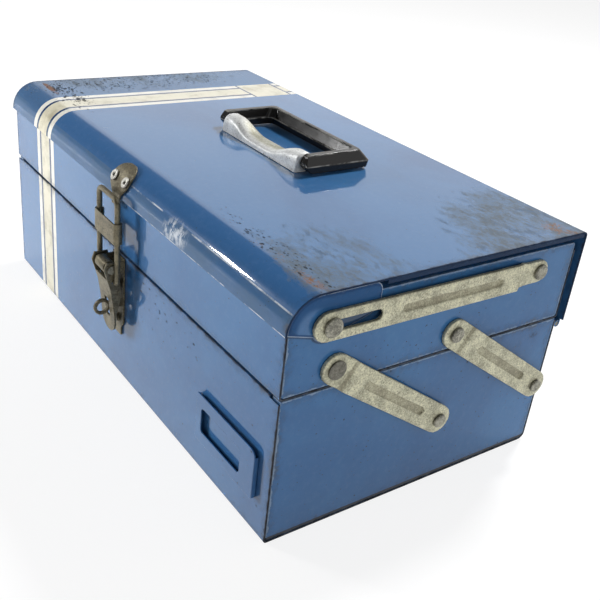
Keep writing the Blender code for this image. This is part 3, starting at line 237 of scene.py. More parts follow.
class NodeBench:
    """Places shader nodes in a tree and links them as they are made."""

    def __init__(self, tree):
        self.tree = tree

    def feed(self, socket, value):
        """Links a socket, or sets its value."""
        if isinstance(value, bpy.types.NodeSocket):
            self.tree.links.new(value, socket)
        else:
            socket.default_value = value

    def put(self, kind, feeds=None, **settings):
        """Adds a node with its settings and inputs."""
        node = self.tree.nodes.new(kind)
        for key, value in settings.items():
            setattr(node, key, value)
        for key, value in (feeds or {}).items():
            self.feed(node.inputs[key], value)
        return node

    def sum(self, operation, first, second=0.0, third=0.0, clamp=False):
        """A Math node's result."""
        feeds = {0: first, 1: second, 2: third}
        return self.put("ShaderNodeMath", feeds, operation=operation, use_clamp=clamp).outputs[0]

    def times(self, first, *others):
        """The product of the values."""
        for other in others:
            first = self.sum("MULTIPLY", first, other)
        return first

    def most(self, first, *others):
        """The greatest of the values."""
        for other in others:
            first = self.sum("MAXIMUM", first, other)
        return first

    def minus(self, first, second):
        """The first value less the second."""
        return self.sum("SUBTRACT", first, second)

    def scaled(self, value, factor, added, clamp=False):
        """A value times a factor, with another value added."""
        return self.sum("MULTIPLY_ADD", value, factor, added, clamp)

    def away(self, value, middle):
        """How far a value lies from a middle."""
        return self.sum("ABSOLUTE", self.minus(value, middle))

    def reach(self, across, up):
        """Length of the line that goes so far across and up."""
        return self.sum("POWER", self.scaled(across, across, self.times(up, up)), 0.5)

    def vector(self, operation, first, second=(0.0, 0.0, 0.0), output=0):
        """A Vector Math node's result."""
        return self.put("ShaderNodeVectorMath", {0: first, 1: second}, operation=operation).outputs[output]

    def step(self, value, low, high):
        """A soft step from 0 at low to 1 at high; high may be under low."""
        feeds = {"Value": value, "From Min": low, "From Max": high}
        node = self.put("ShaderNodeMapRange", feeds, interpolation_type="SMOOTHSTEP", clamp=True)
        return node.outputs["Result"]

    def band(self, value, low, full_low, full_high, high):
        """1 between the two inner limits, 0 beyond the outer ones."""
        return self.times(self.step(value, low, full_low), self.step(value, high, full_high))

    def spread(self, value, low, high):
        """Maps 0 to 1 onto low to high."""
        feeds = {"Value": value, "To Min": low, "To Max": high}
        return self.put("ShaderNodeMapRange", feeds, clamp=True).outputs["Result"]

    def blend(self, share, first, second):
        """Mixes two colours."""
        node = self.put("ShaderNodeMix", {0: share}, data_type="RGBA", blend_type="MIX")
        for index, colour in ((6, first), (7, second)):
            if not isinstance(colour, bpy.types.NodeSocket) and len(colour) == 3:
                colour = (*colour, 1.0)
            self.feed(node.inputs[index], colour)
        return node.outputs[2]

    def coat(self, colour, tone, *shares):
        """Lays a tone over a colour by the product of the shares."""
        return self.blend(self.times(*shares), colour, tone)

    def noise(self, place, scale, detail=3.0, rough=0.55, bend=0.0):
        """Cloudy noise at so many features a metre."""
        feeds = {"Vector": place, "Scale": scale, "Detail": detail, "Roughness": rough, "Distortion": bend}
        return self.put("ShaderNodeTexNoise", feeds).outputs["Fac"]

    def cells(self, place, scale, output="Distance"):
        """Scattered cells at so many a metre."""
        return self.put("ShaderNodeTexVoronoi", {"Vector": place, "Scale": scale}).outputs[output]

    def stretch(self, place, scale, turn=(0.0, 0.0, 0.0)):
        """Scales and turns coordinates."""
        return self.put("ShaderNodeMapping", {"Vector": place, "Scale": scale, "Rotation": turn}).outputs[0]

    def split(self, place):
        """The x, y and z of coordinates."""
        return self.put("ShaderNodeSeparateXYZ", {0: place}).outputs[:]

    def place(self):
        """Coordinates fixed to the piece."""
        return self.put("ShaderNodeTexCoord").outputs["Object"]

    def effect(self, name, **feeds):
        """A shared effect group, by its name, with its inputs."""
        node = self.put("ShaderNodeGroup", node_tree=bpy.data.node_groups[name])
        for key, value in feeds.items():
            self.feed(node.inputs[key], value)
        return node.outputs[0]


def new_effect(name, output, **inputs):
    """An empty shader group with named inputs and one output: its bench, its inputs and its output socket."""
    tree = bpy.data.node_groups.new(name, "ShaderNodeTree")
    for label, value in inputs.items():
        kind = "NodeSocketVector" if isinstance(value, tuple) else "NodeSocketFloat"
        socket = tree.interface.new_socket(label, in_out="INPUT", socket_type=kind)
        socket.default_value = value
    tree.interface.new_socket(output, in_out="OUTPUT", socket_type="NodeSocketFloat")
    bench = NodeBench(tree)
    entry = bench.put("NodeGroupInput")
    leave = bench.put("NodeGroupOutput")
    return bench, entry.outputs, leave.inputs[0]


ORIGIN = (0.0, 0.0, 0.0)


def edge_distance_effect():
    """How far a point of a box-shaped piece lies from the piece's nearest edge."""
    bench, entry, leave = new_effect("Edge distance", "Distance", Place=ORIGIN, Centre=ORIGIN, Half=ORIGIN)
    away = bench.vector("ABSOLUTE", bench.vector("SUBTRACT", entry["Place"], entry["Centre"]))
    x, y, z = bench.split(bench.vector("SUBTRACT", entry["Half"], away))
    lesser = bench.sum("MINIMUM", x, y)
    bench.feed(leave, bench.most(lesser, bench.sum("MINIMUM", bench.most(x, y), z)))


def chips_effect():
    """Ragged flakes scattered over a surface, thick where Amount is high."""
    bench, entry, leave = new_effect("Chips", "Mask", Place=ORIGIN, Scale=100.0, Amount=0.2)
    place, scale = entry["Place"], entry["Scale"]
    ragged = bench.minus(bench.noise(place, bench.times(scale, 3.0), 4.0, 0.7), 0.5)
    pick = bench.put("ShaderNodeSeparateColor", {0: bench.cells(place, scale, "Color")})
    radius = bench.times(bench.sum("POWER", pick.outputs[0], 3.0), entry["Amount"])
    rim = bench.scaled(ragged, 0.55, bench.cells(place, scale))
    bench.feed(leave, bench.step(bench.minus(rim, radius), 0.03, -0.03))


def scratches_effect():
    """Fine broken lines that run mostly one way."""
    bench, entry, leave = new_effect("Scratches", "Mask", Place=ORIGIN, Scale=60.0, Amount=0.3, Turn=ORIGIN)
    feeds = {"Vector": entry["Place"], "Rotation": entry["Turn"]}
    turned = bench.put("ShaderNodeVectorRotate", feeds, rotation_type="EULER_XYZ")
    drawn = bench.stretch(turned.outputs[0], (1.0, 0.035, 0.035))
    line = bench.away(bench.noise(drawn, entry["Scale"], 2.0, 0.6, 0.6), 0.5)
    thin = bench.step(line, 0.012, 0.002)
    broken = bench.noise(turned.outputs[0], bench.times(entry["Scale"], 0.45), 3.0, 0.6)
    kept = bench.step(broken, bench.minus(0.80, entry["Amount"]), bench.minus(0.92, entry["Amount"]))
    bench.feed(leave, bench.times(thin, kept))


def grime_effect():
    """Cloudy dirt with soft and hard patches."""
    bench, entry, leave = new_effect("Grime", "Mask", Place=ORIGIN, Scale=20.0, Amount=0.5)
    broad = bench.noise(entry["Place"], entry["Scale"], 4.0, 0.6, 0.4)
    fine = bench.noise(entry["Place"], bench.times(entry["Scale"], 9.0), 3.0, 0.7)
    both = bench.scaled(fine, 0.35, bench.times(broad, 0.65))
    low = bench.minus(0.78, bench.times(entry["Amount"], 0.45))
    bench.feed(leave, bench.step(both, low, bench.sum("ADD", low, 0.16)))


def speckle_effect():
    """Sandy grain, as on cast or plated metal."""
    bench, entry, leave = new_effect("Speckle", "Value", Place=ORIGIN, Scale=900.0, Contrast=1.0)
    coarse = bench.noise(entry["Place"], entry["Scale"], 3.0, 0.75)
    blotch = bench.noise(entry["Place"], bench.times(entry["Scale"], 0.14), 3.0, 0.6)
    both = bench.scaled(blotch, 0.4, bench.times(coarse, 0.6))
    wide = bench.times(bench.minus(both, 0.5), entry["Contrast"], 2.6)
    bench.feed(leave, bench.sum("ADD", wide, 0.5, clamp=True))


def new_material(name):
    """An empty node material: its bench and its shader."""
    material = bpy.data.materials.new(name)
    material.use_nodes = True
    material.node_tree.nodes.clear()
    bench = NodeBench(material.node_tree)
    shader = bench.put("ShaderNodeBsdfPrincipled")
    bench.put("ShaderNodeOutputMaterial", {0: shader.outputs[0]})
    return material, bench, shader


def roughen(bench, shader, height, strength, distance):
    """Links a height to the shader through a Bump node."""
    feeds = {"Height": height, "Strength": strength, "Distance": distance}
    bench.feed(shader.inputs["Normal"], bench.put("ShaderNodeBump", feeds).outputs[0])


SKIN = 0.0004

# The lid roll's dulled lower band, its painted glint patch and its dulled far end
SCUFF_LOW = ROLL_Z + 0.0002
SCUFF_HIGH = ROLL_Z + 0.0124
SCUFF_SOFT = 0.0004
GLINT_SPOT = ((0.086, LID_FRONT + 0.001, ROLL_Z + 0.0066), (0.019, 0.012, 0.0105))
FAR_END = -0.1600

# The lower edge of a lid cheek: a straight run from the front, then round the guide pin
NOSE_RADIUS = 0.0115
NOSE_TURN = math.radians(215.0)
NOSE_START = Vector((
    NOSE_PIN.y + NOSE_RADIUS * math.cos(NOSE_TURN), NOSE_PIN.z + NOSE_RADIUS * math.sin(NOSE_TURN)))
NOSE_FRONT = Vector((node_low("lid_cheek_right").y, ROLL_Z))

# The stripe: shares of its half width, and the square panel on the lid
STRIPE_CREAM = 0.480
STRIPE_WHITE = 0.655
STRIPE_SOFT = 0.0002
PANEL_Y = 0.0920
PANEL_HALF = 0.0185
PANEL_LINE = 0.0010

# Tones of wear, dirt, painted shade and painted highlights
CHALK = (0.16, 0.26, 0.44)
AGED_CREAM = (0.46, 0.42, 0.30)
AGED_WHITE = (0.52, 0.50, 0.44)
STRIPE_LINE = (0.016, 0.052, 0.140)
SCUFFED = (0.100, 0.150, 0.205)
ROLL_GLINT = (0.72, 0.76, 0.80)
FILM = (0.150, 0.150, 0.112)
DREGS = (0.085, 0.078, 0.048)
DIRT = (0.022, 0.030, 0.044)
LID_STAIN = (0.12, 0.085, 0.045)
EDGE_STAIN = (0.055, 0.066, 0.080)
WORN_EDGE = (0.050, 0.045, 0.042)
ENDS_EDGE_HIGHLIGHT = (0.26, 0.34, 0.46)
FLANGE_SHADE = (0.010, 0.024, 0.060)
NOSE_SHADE = (0.016, 0.034, 0.076)
ROLLED_RIM_SHADE = (0.014, 0.046, 0.130)
CHEEK_BAND_SHADE = (0.010, 0.050, 0.150)
CHEEK_CREST_HIGHLIGHT = (0.46, 0.54, 0.62)
SLOT_SHADE = (0.010, 0.022, 0.048)
FOOT_SHADE = (0.010, 0.012, 0.016)
CUT_EDGE = (0.020, 0.021, 0.024)


def spot(bench, place, centre, radii):
    """A soft patch round a centre, 1 in its middle."""
    away = bench.vector("DIVIDE", bench.vector("SUBTRACT", place, centre), radii)
    return bench.step(bench.vector("LENGTH", away, output="Value"), 1.0, 0.35)


def spots(bench, place, start, patches):
    """A starting amount raised in each (centre, radii, strength) patch."""
    amount = start
    for centre, radii, strength in patches:
        amount = bench.scaled(spot(bench, place, centre, radii), strength, amount)
    return amount


def front_skin(bench, y, z):
    """1 on the outer front face of the body or the tray."""
    return bench.step(y, BODY_FRONT + SKIN * 2.0, BODY_FRONT + SKIN)


def lid_skin(bench, y, z):
    """1 on the lid's outer top and roll."""
    top = bench.step(z, LID_TOP - SKIN * 2.0, LID_TOP - SKIN)
    reach = bench.reach(bench.minus(y, ROLL_Y), bench.minus(z, ROLL_Z))
    roll = bench.step(reach, ROLL_RADIUS - SKIN * 2.0, ROLL_RADIUS - SKIN)
    return bench.most(top, bench.times(roll, bench.sum("LESS_THAN", y, ROLL_Y)))


def roll_scuff_and_glint(bench, place, outside):
    """Masks of the lid's dulled far end and lower roll, of its lost gloss, and of the painted highlight lines
    and glint patch on the roll.
    """
    x, y, z = bench.split(place)
    fore = bench.times(bench.sum("LESS_THAN", y, ROLL_Y), outside)
    smoky = bench.step(bench.noise(bench.stretch(place, (0.4, 1.0, 1.0)), 60.0, 4.0, 0.65), 0.34, 0.62)
    band = bench.band(z, SCUFF_LOW - SCUFF_SOFT, SCUFF_LOW, SCUFF_HIGH, SCUFF_HIGH + SCUFF_SOFT)
    band = bench.times(band, fore, bench.spread(smoky, 0.45, 1.0))
    # Painted highlight lines along both edges of the dulled band, and a painted glint patch broken into
    # streaks
    upper = bench.step(bench.away(z, SCUFF_HIGH), 0.0006, 0.0002)
    lower = bench.step(bench.away(z, SCUFF_LOW), 0.0005, 0.0002)
    broken = bench.step(bench.noise(place, 34.0, 5.0, 0.7), 0.44, 0.58)
    near = bench.step(x, 0.012, 0.034)
    lines = bench.times(bench.most(upper, lower), broken, near)
    slanted = bench.stretch(place, (1.0, 1.0, 0.35), (0.0, 0.5, 0.0))
    streaks = bench.step(bench.noise(slanted, 340.0, 4.0, 0.7), 0.44, 0.60)
    patch = bench.times(spot(bench, place, *GLINT_SPOT), streaks)
    bright = bench.times(bench.most(lines, patch), fore)
    far = bench.times(bench.step(x, FAR_END + 0.004, FAR_END - 0.004), outside)
    band = bench.most(band, bench.times(far, 0.55))
    matt = bench.times(band, bench.spread(near, 0.95, 0.72))
    return band, matt, bright


def below_nose(bench, y, z):
    """Distance below the lower edge of a lid cheek, where it hangs round the guide pin."""
    run = (NOSE_START - NOSE_FRONT).normalized()
    ahead = bench.minus(y, NOSE_FRONT.x)
    line = bench.scaled(bench.minus(NOSE_FRONT.y, z), run.x, bench.times(ahead, run.y))
    ring = bench.minus(bench.reach(bench.minus(y, NOSE_PIN.y), bench.minus(z, NOSE_PIN.z)), NOSE_RADIUS)
    behind = bench.step(y, NOSE_START.x - 0.0004, NOSE_START.x + 0.0004)
    return bench.spread(behind, line, ring)


def before_nose(bench, y):
    """1 in front of the guide pin and a little behind it."""
    return bench.step(y, NOSE_PIN.y + 0.012, NOSE_PIN.y + 0.006)


def inside_roll(bench, y, z):
    """Distance inwards from the lid's outline, seen from its end."""
    across = bench.sum("MINIMUM", bench.minus(y, ROLL_Y), 0.0)
    up = bench.most(bench.minus(z, ROLL_Z), 0.0)
    return bench.minus(ROLL_RADIUS, bench.reach(across, up))


def stripe_bands(bench, x, y, enamel):
    """Masks of the stripe's cream band with its square panel, of the white bands and of the lines between."""
    away = bench.away(x, enamel.stripe_x)
    half = enamel.stripe_half
    soft = STRIPE_SOFT
    middle = bench.step(away, half * STRIPE_CREAM + soft, half * STRIPE_CREAM - soft)
    inner = bench.step(away, half * STRIPE_WHITE - soft, half * STRIPE_WHITE + soft)
    outer = bench.step(away, half + soft, half - soft)
    along = bench.away(y, PANEL_Y)
    panel = bench.step(along, PANEL_HALF + soft, PANEL_HALF - soft)
    border = bench.step(bench.away(along, PANEL_HALF), PANEL_LINE - soft, PANEL_LINE + soft)
    cream = bench.times(bench.most(middle, bench.times(panel, outer)), border)
    white = bench.times(inner, outer, bench.minus(1.0, panel), border)
    line = bench.sum("SUBTRACT", outer, bench.most(cream, white), clamp=True)
    return cream, white, line


def tray_nose(bench, place, colour):
    """Paints the shadow that a lid cheek's lower edge casts on the tray's end, as a dark line."""
    y, z = bench.split(place)[1:]
    shade = bench.band(below_nose(bench, y, z), -0.0012, -0.0002, 0.0007, 0.0019)
    return bench.coat(colour, NOSE_SHADE, shade, before_nose(bench, y), 0.80)


def cheek_relief(bench, place, colour, end):
    """Paints shade on a cheek's rolled rim and on a band inside it, and highlights on the rim's crest and
    along its lower edge: its colour, and a mask of lost gloss.
    """
    x, y, z = bench.split(place)
    sunk = bench.minus(end, bench.sum("ABSOLUTE", x))
    rolled = bench.band(sunk, 0.00002, 0.00012, 0.00085, 0.00095)
    # Painted shade on the rolled rim
    colour = bench.coat(colour, ROLLED_RIM_SHADE, rolled, 0.75)
    inset = inside_roll(bench, y, z)
    wide = bench.step(y, ROLL_Y - 0.012, ROLL_Y + 0.006)
    deep = bench.step(inset, bench.spread(wide, 0.0098, 0.0150), bench.spread(wide, 0.0052, 0.0085))
    shade = bench.times(bench.step(inset, 0.0018, 0.0034), deep)
    # Painted shade on a band inside the rolled rim
    colour = bench.coat(colour, CHEEK_BAND_SHADE, shade, 0.66)
    patchy = bench.step(bench.noise(place, 60.0, 4.0, 0.65), 0.36, 0.54)
    crest = bench.step(sunk, 0.00026, 0.00044)
    # Painted highlight, broken up, on the rim's crest
    colour = bench.coat(colour, CHEEK_CREST_HIGHLIGHT, crest, rolled, patchy, 0.88)
    light = bench.step(bench.away(below_nose(bench, y, z), -0.0004), 0.0007, 0.0003)
    low = bench.step(z, NOSE_PIN.z, NOSE_PIN.z - 0.002)
    # Painted highlight along the cheek's lower edge
    colour = bench.coat(colour, ENDS_EDGE_HIGHLIGHT, light, before_nose(bench, y), low, 0.60)
    return colour, bench.most(shade, rolled)


def enamel_material(name, node, skin=None, cut_edge=False, chipped=(), stained=(), rubbed=(), rusted=(),
                    edge_tone=WORN_EDGE, foot=0.0, glazed=0.90, on_tray_end=False, on_cheek=False, shaded=()):
    """Blue enamel on sheet steel, worn at its edges, for the pieces that stand in the node's box."""
    enamel = bpy.context.scene.caddy_enamel
    wear = enamel.wear
    on_lid = skin is lid_skin
    material, bench, shader = new_material(name)
    place = bench.place()
    x, y, z = bench.split(place)
    low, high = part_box(node)
    edge = bench.effect("Edge distance", Place=place, Centre=(low + high) / 2.0, Half=(high - low) / 2.0)
    ragged = bench.minus(bench.noise(place, 190.0, 4.0, 0.7), 0.5)

    cloudy_and_roll_shade = bench.step(bench.noise(place, 8.0, 4.0, 0.6, 0.5), 0.40, 0.72)
    # Deep paint in random clouds; on the lid it also covers the whole front roll as painted shade
    if on_lid:
        cloudy_and_roll_shade = bench.most(cloudy_and_roll_shade, bench.step(y, ROLL_Y + 0.004, ROLL_Y - 0.004))
    colour = bench.blend(cloudy_and_roll_shade, enamel.paint, enamel.deep_paint)
    chalky = bench.step(bench.noise(place, 210.0, 4.0, 0.7), 0.45, 0.75)
    colour = bench.coat(colour, CHALK, chalky, 0.10)

    amounts = [spots(bench, place, start * wear, patches)
               for start, patches in ((0.10, chipped), (0.22, stained), (0.0, rusted))]
    if skin is not None:
        outside = skin(bench, y, z)
    if on_lid:
        amounts = [bench.times(amount, outside) for amount in amounts]
    flake_amount, film_amount, rust_amount = amounts
    smear = bench.stretch(place, (0.55, 1.0, 1.0), (0.0, 0.3, 0.5))
    fine = 360.0 if on_lid else 230.0
    flakes = bench.effect("Chips", Place=smear, Scale=fine, Amount=flake_amount)
    specks = bench.effect("Chips", Place=smear, Scale=fine * 1.8, Amount=bench.times(flake_amount, 1.3))
    lines = bench.effect("Scratches", Place=place, Scale=34.0, Amount=0.10 * wear, Turn=(0.0, 0.2, 0.7))
    crossed = bench.effect("Scratches", Place=place, Scale=52.0, Amount=0.09 * wear, Turn=(0.4, 0.9, -0.5))
    damage = bench.most(flakes, specks, lines, crossed)

    if skin is not None:
        cream, white, line = stripe_bands(bench, x, y, enamel)
        aged = bench.noise(place, 55.0, 4.0, 0.65)
        cream_tone = bench.blend(bench.step(aged, 0.42, 0.75), enamel.cream, AGED_CREAM)
        white_tone = bench.blend(bench.step(aged, 0.45, 0.80), enamel.white, AGED_WHITE)
        for mask, tone in ((line, STRIPE_LINE), (cream, cream_tone), (white, white_tone)):
            colour = bench.coat(colour, tone, mask, outside)
    if on_lid:
        dulled, matt, bright = roll_scuff_and_glint(bench, place, outside)
        plain = bench.minus(1.0, bench.most(cream, white))
        colour = bench.coat(colour, SCUFFED, dulled, plain, 0.55)
        # Painted highlight lines and glint on the lid's roll
        colour = bench.coat(colour, ROLL_GLINT, bright, 0.78)

    drawn = bench.stretch(place, (0.50, 1.0, 1.0), (0.0, 0.0, 0.35))
    grit = bench.step(bench.noise(place, 300.0, 3.0, 0.75), 0.40, 0.62)
    film = bench.effect("Grime", Place=drawn, Scale=30.0, Amount=film_amount)
    film = bench.times(film, bench.spread(grit, 0.55, 1.0))
    dregs = bench.effect("Grime", Place=drawn, Scale=150.0, Amount=bench.times(film_amount, 0.85))
    rust = bench.effect("Grime", Place=place, Scale=75.0, Amount=rust_amount)
    rub = bench.effect("Grime", Place=smear, Scale=70.0, Amount=spots(bench, place, 0.10 * wear, rubbed))
    seam_dirt = bench.step(bench.scaled(ragged, 0.020, edge), 0.0060, 0.0005)
    dirt = bench.times(bench.most(rub, bench.times(seam_dirt, 0.40)), 0.70)
    colour = bench.coat(colour, FILM, film, 0.54)
    colour = bench.coat(colour, DREGS, dregs, 0.48)
    colour = bench.coat(colour, enamel.rust, rust, 0.88)
    colour = bench.coat(colour, DIRT, dirt)
    colour = bench.coat(colour, enamel.bare, damage, 0.85)

    worn = bench.step(bench.scaled(ragged, 0.0050, edge), 0.0013, 0.0002)
    patchy = bench.step(bench.noise(place, 28.0, 3.0, 0.6), 0.50, 0.66)
    soiled = bench.step(bench.scaled(ragged, 0.012, edge), 0.0036, 0.0004)
    colour = bench.coat(colour, LID_STAIN if on_lid else EDGE_STAIN, soiled, patchy, 0.60)
    # On the end pans and cheeks the edge tone is light blue, a painted highlight along the edge band; on the
    # other pieces it is dark wear
    colour = bench.coat(colour, edge_tone, worn, 0.75)
    end = bench.sum("ABSOLUTE", x)
    # Painted shade over the lid's end flange, which also loses its gloss
    if on_lid:
        flange = bench.step(end, high.x - 0.0007, high.x - 0.0004)
        colour = bench.coat(colour, FLANGE_SHADE, flange, 0.92)
    if on_tray_end:
        colour = tray_nose(bench, place, colour)
    if on_cheek:
        colour, matt = cheek_relief(bench, place, colour, high.x)
    for centre, radii, strength in shaded:
        colour = bench.coat(colour, SLOT_SHADE, spot(bench, place, centre, radii), strength)
    if foot > 0.0:
        colour = bench.coat(colour, FOOT_SHADE, bench.step(z, low.z + foot + 0.0004, low.z + foot), 0.92)
    if cut_edge:
        colour = bench.coat(colour, CUT_EDGE, bench.step(end, high.x - 0.0006, high.x - 0.0003), 0.85)
    bench.feed(shader.inputs["Base Color"], colour)

    lost = bench.most(damage, worn)
    dull = bench.most(film, dregs, rust, dirt)
    gloss = bench.spread(bench.noise(place, 45.0, 4.0, 0.6), 0.18, 0.30)
    gloss = bench.scaled(dull, 0.25, gloss)
    bench.feed(shader.inputs["Roughness"], bench.scaled(lost, 0.30, gloss, clamp=True))
    glaze = bench.spread(bench.most(bench.times(dull, 0.75), lost), glazed, 0.0)
    if on_lid:
        glaze = bench.times(glaze, bench.spread(flange, 1.0, 0.05))
    if on_lid or on_cheek:
        glaze = bench.times(glaze, bench.spread(matt, 1.0, 0.12))
    bench.feed(shader.inputs["Coat Weight"], glaze)
    for socket, value in (("Coat Roughness", 0.04), ("Coat IOR", 1.50), ("Specular IOR Level", 0.06)):
        shader.inputs[socket].default_value = value
    ripple = bench.times(bench.noise(place, 420.0, 2.0, 0.5), 0.10)
    dented = bench.scaled(bench.noise(place, 16.0, 2.0, 0.5), 1.2, ripple)
    roughen(bench, shader, bench.scaled(bench.most(lost, rust), -0.7, dented), 0.30, 0.0003)
    return material


# Metal finishes: name, dark tone, metallic, roughness, grain, scratches, tarnish, bump, contrast, lowest tone
METALS = {
    "zinc": ("Dull zinc", (0.20, 0.18, 0.12), 0.35, 0.50, 760.0, 0.10, 0.20, 0.45, 2.1, 0.54),
    "latch": ("Tarnished latch", (0.060, 0.048, 0.028), 0.60, 0.42, 700.0, 0.14, 0.56, 0.45, 1.9, 0.50),
    "steel": ("Pin steel", (0.10, 0.092, 0.070), 0.45, 0.46, 620.0, 0.20, 0.55, 0.60, 2.4, 0.40),
    "dark_steel": ("Dark pin steel", (0.060, 0.055, 0.042), 0.45, 0.48, 620.0, 0.20, 0.55, 0.50, 1.8, 0.55),
    "eyelet": ("Bright eyelet", (0.20, 0.18, 0.14), 0.55, 0.40, 1200.0, 0.15, 0.40, 0.30, 1.0, 0.74),
    "silver": ("Worn silver", (0.34, 0.335, 0.30), 0.35, 0.42, 700.0, 0.22, 0.45, 0.35, 1.6, 0.78),
}
DARK_STEEL = (0.185, 0.178, 0.145)
EYELET = (0.52, 0.51, 0.46)
GROOVE_FLOOR = (0.2126, 0.2144)
SILVER_STAIN = ((0.25, 0.235, 0.14), (HANDLE_X, 0.0050, 0.1740), (0.058, 0.0110, 0.030))


def metal_material(tone, finish, sunk=None, aged=()):
    """Bare or plated metal with sandy grain, tarnish, fine scratches, and darker floors in its sunk places.
    """
    name, dark, metallic, rough, grain, scratch, tarnish, bump, contrast, low = METALS[finish]
    material, bench, shader = new_material(name)
    place = bench.place()
    speckle = bench.effect("Speckle", Place=place, Scale=grain, Contrast=contrast)
    bright = tuple(min(1.0, value * 1.22) for value in tone)
    colour = bench.blend(speckle, tuple(value * low for value in tone), bright)
    cloud = bench.effect("Grime", Place=place, Scale=70.0, Amount=tarnish)
    colour = bench.coat(colour, dark, cloud, 0.55)
    pits = bench.effect("Chips", Place=place, Scale=grain * 0.85, Amount=0.40)
    colour = bench.coat(colour, tuple(value * 0.55 for value in dark), pits, 0.60)
    for tint, centre, radii in aged:
        colour = bench.coat(colour, tint, spot(bench, place, centre, radii), bench.spread(speckle, 1.0, 0.55))
    # Darker between two distances from the middle, on the groove floors
    if sunk is not None:
        end = bench.sum("ABSOLUTE", bench.split(place)[0])
        below = bench.band(end, sunk[0], sunk[0] + 0.0003, sunk[1] - 0.0006, sunk[1])
        colour = bench.coat(colour, dark, below, bench.spread(speckle, 0.70, 0.42))
    lines = bench.effect("Scratches", Place=place, Scale=130.0, Amount=scratch, Turn=(0.6, 0.3, 0.9))
    colour = bench.coat(colour, bright, lines, 0.5)
    bench.feed(shader.inputs["Base Color"], colour)
    shader.inputs["Metallic"].default_value = metallic
    gloss = bench.spread(bench.noise(place, 90.0, 4.0, 0.65), rough - 0.09, rough + 0.09)
    bench.feed(shader.inputs["Roughness"], bench.scaled(bench.most(cloud, pits), 0.14, gloss, clamp=True))
    height = bench.minus(bench.times(speckle, 0.6), bench.times(pits, 0.8))
    roughen(bench, shader, height, bump, 0.0002)
    return material


# Heights of the painted highlight lines along the grip's edges
GRIP_HIGHLIGHT_HEIGHTS = (0.1738, 0.1809)
GRIP_DUST = (0.050, 0.047, 0.042)
GRIP_SCRATCH = (0.16, 0.155, 0.145)
GRIP_HIGHLIGHT_TONE = (0.34, 0.33, 0.30)


def grip_material():
    """Glossy black moulding with cloudy dust, fine scratches and painted highlight lines along two edge
    heights.
    """
    material, bench, shader = new_material("Black grip")
    place = bench.place()
    smoke = bench.effect("Grime", Place=place, Scale=55.0, Amount=0.40)
    colour = bench.coat(bpy.context.scene.caddy_fittings.grip, GRIP_DUST, smoke, 0.35)
    lines = bench.effect("Scratches", Place=place, Scale=150.0, Amount=0.22, Turn=(0.2, 0.4, 0.3))
    colour = bench.coat(colour, GRIP_SCRATCH, lines, 0.5)
    height = bench.split(place)[2]
    # Painted highlight lines at those two heights, broken up
    highlight_lines = [bench.step(bench.away(height, level), 0.0006, 0.0002) for level in GRIP_HIGHLIGHT_HEIGHTS]
    broken = bench.step(bench.noise(place, 60.0, 4.0, 0.6), 0.40, 0.58)
    colour = bench.coat(colour, GRIP_HIGHLIGHT_TONE, bench.most(*highlight_lines), broken, 0.75)
    bench.feed(shader.inputs["Base Color"], colour)
    gloss = bench.spread(bench.noise(place, 120.0, 4.0, 0.6), 0.10, 0.22)
    bench.feed(shader.inputs["Roughness"], bench.scaled(bench.most(smoke, lines), 0.20, gloss, clamp=True))
    shader.inputs["Specular IOR Level"].default_value = 0.32
    roughen(bench, shader, bench.noise(place, 500.0, 2.0, 0.5), 0.08, 0.0002)
    return material


FINISHES = {}

# Patches of wear and shade: centre, radii, strength
NEAR_ARMS = (
    ((END_FACE, -0.020, 0.090), (0.004, 0.060, 0.030), 0.42),
    ((END_FACE, 0.070, 0.090), (0.004, 0.050, 0.034), 0.46),
)
STRUCK = (((END_FACE, 0.010, 0.060), (0.006, 0.150, 0.110), 0.06),)
BEHIND_SLOT = (((0.2110, NOSE_PIN.y + 0.020, NOSE_PIN.z), (0.006, 0.030, 0.0070), 0.80),)
BODY_CHIPS = (((0.04, BODY_FRONT, 0.085), (0.12, 0.02, 0.03), 0.12),)
BODY_RUBS = (((0.10, BODY_FRONT, 0.092), (0.16, 0.02, 0.016), 0.30),)
TRAY_RUBS = (((0.06, BODY_FRONT, 0.125), (0.03, 0.02, 0.016), 0.30),)
LID_CHIPS = (
    ((-0.190, -0.010, LID_TOP), (0.036, 0.14, 0.02), 0.36),
    ((-0.160, -0.084, LID_TOP), (0.060, 0.018, 0.02), 0.50),
    ((0.150, ROLL_Y + 0.006, LID_TOP), (0.100, 0.012, 0.02), 0.30),
)
LID_STAINS = (
    ((0.222, 0.090, LID_TOP), (0.150, 0.120, 0.03), 0.72),
    ((0.190, -0.062, LID_TOP), (0.110, 0.060, 0.03), 0.57),
    ((0.165, ROLL_Y + 0.006, LID_TOP), (0.080, 0.014, 0.03), 0.18),
    ((-0.200, 0.0, LID_TOP), (0.044, 0.170, 0.03), 0.56),
)
LID_RUST = (
    ((0.176, ROLL_Y + 0.001, LID_TOP), (0.066, 0.010, 0.02), 0.66),
    ((0.214, 0.104, LID_TOP), (0.050, 0.024, 0.02), 0.62),
    ((0.209, ROLL_Y + 0.006, LID_TOP), (0.022, 0.014, 0.02), 0.24),
    ((-0.186, ROLL_Y + 0.003, LID_TOP), (0.030, 0.0050, 0.02), 0.90),
)
LID_RUBS = (((0.0, ROLL_Y + 0.004, LID_TOP), (0.240, 0.012, 0.02), 0.34),)
FOOT_HEIGHT = 0.0024


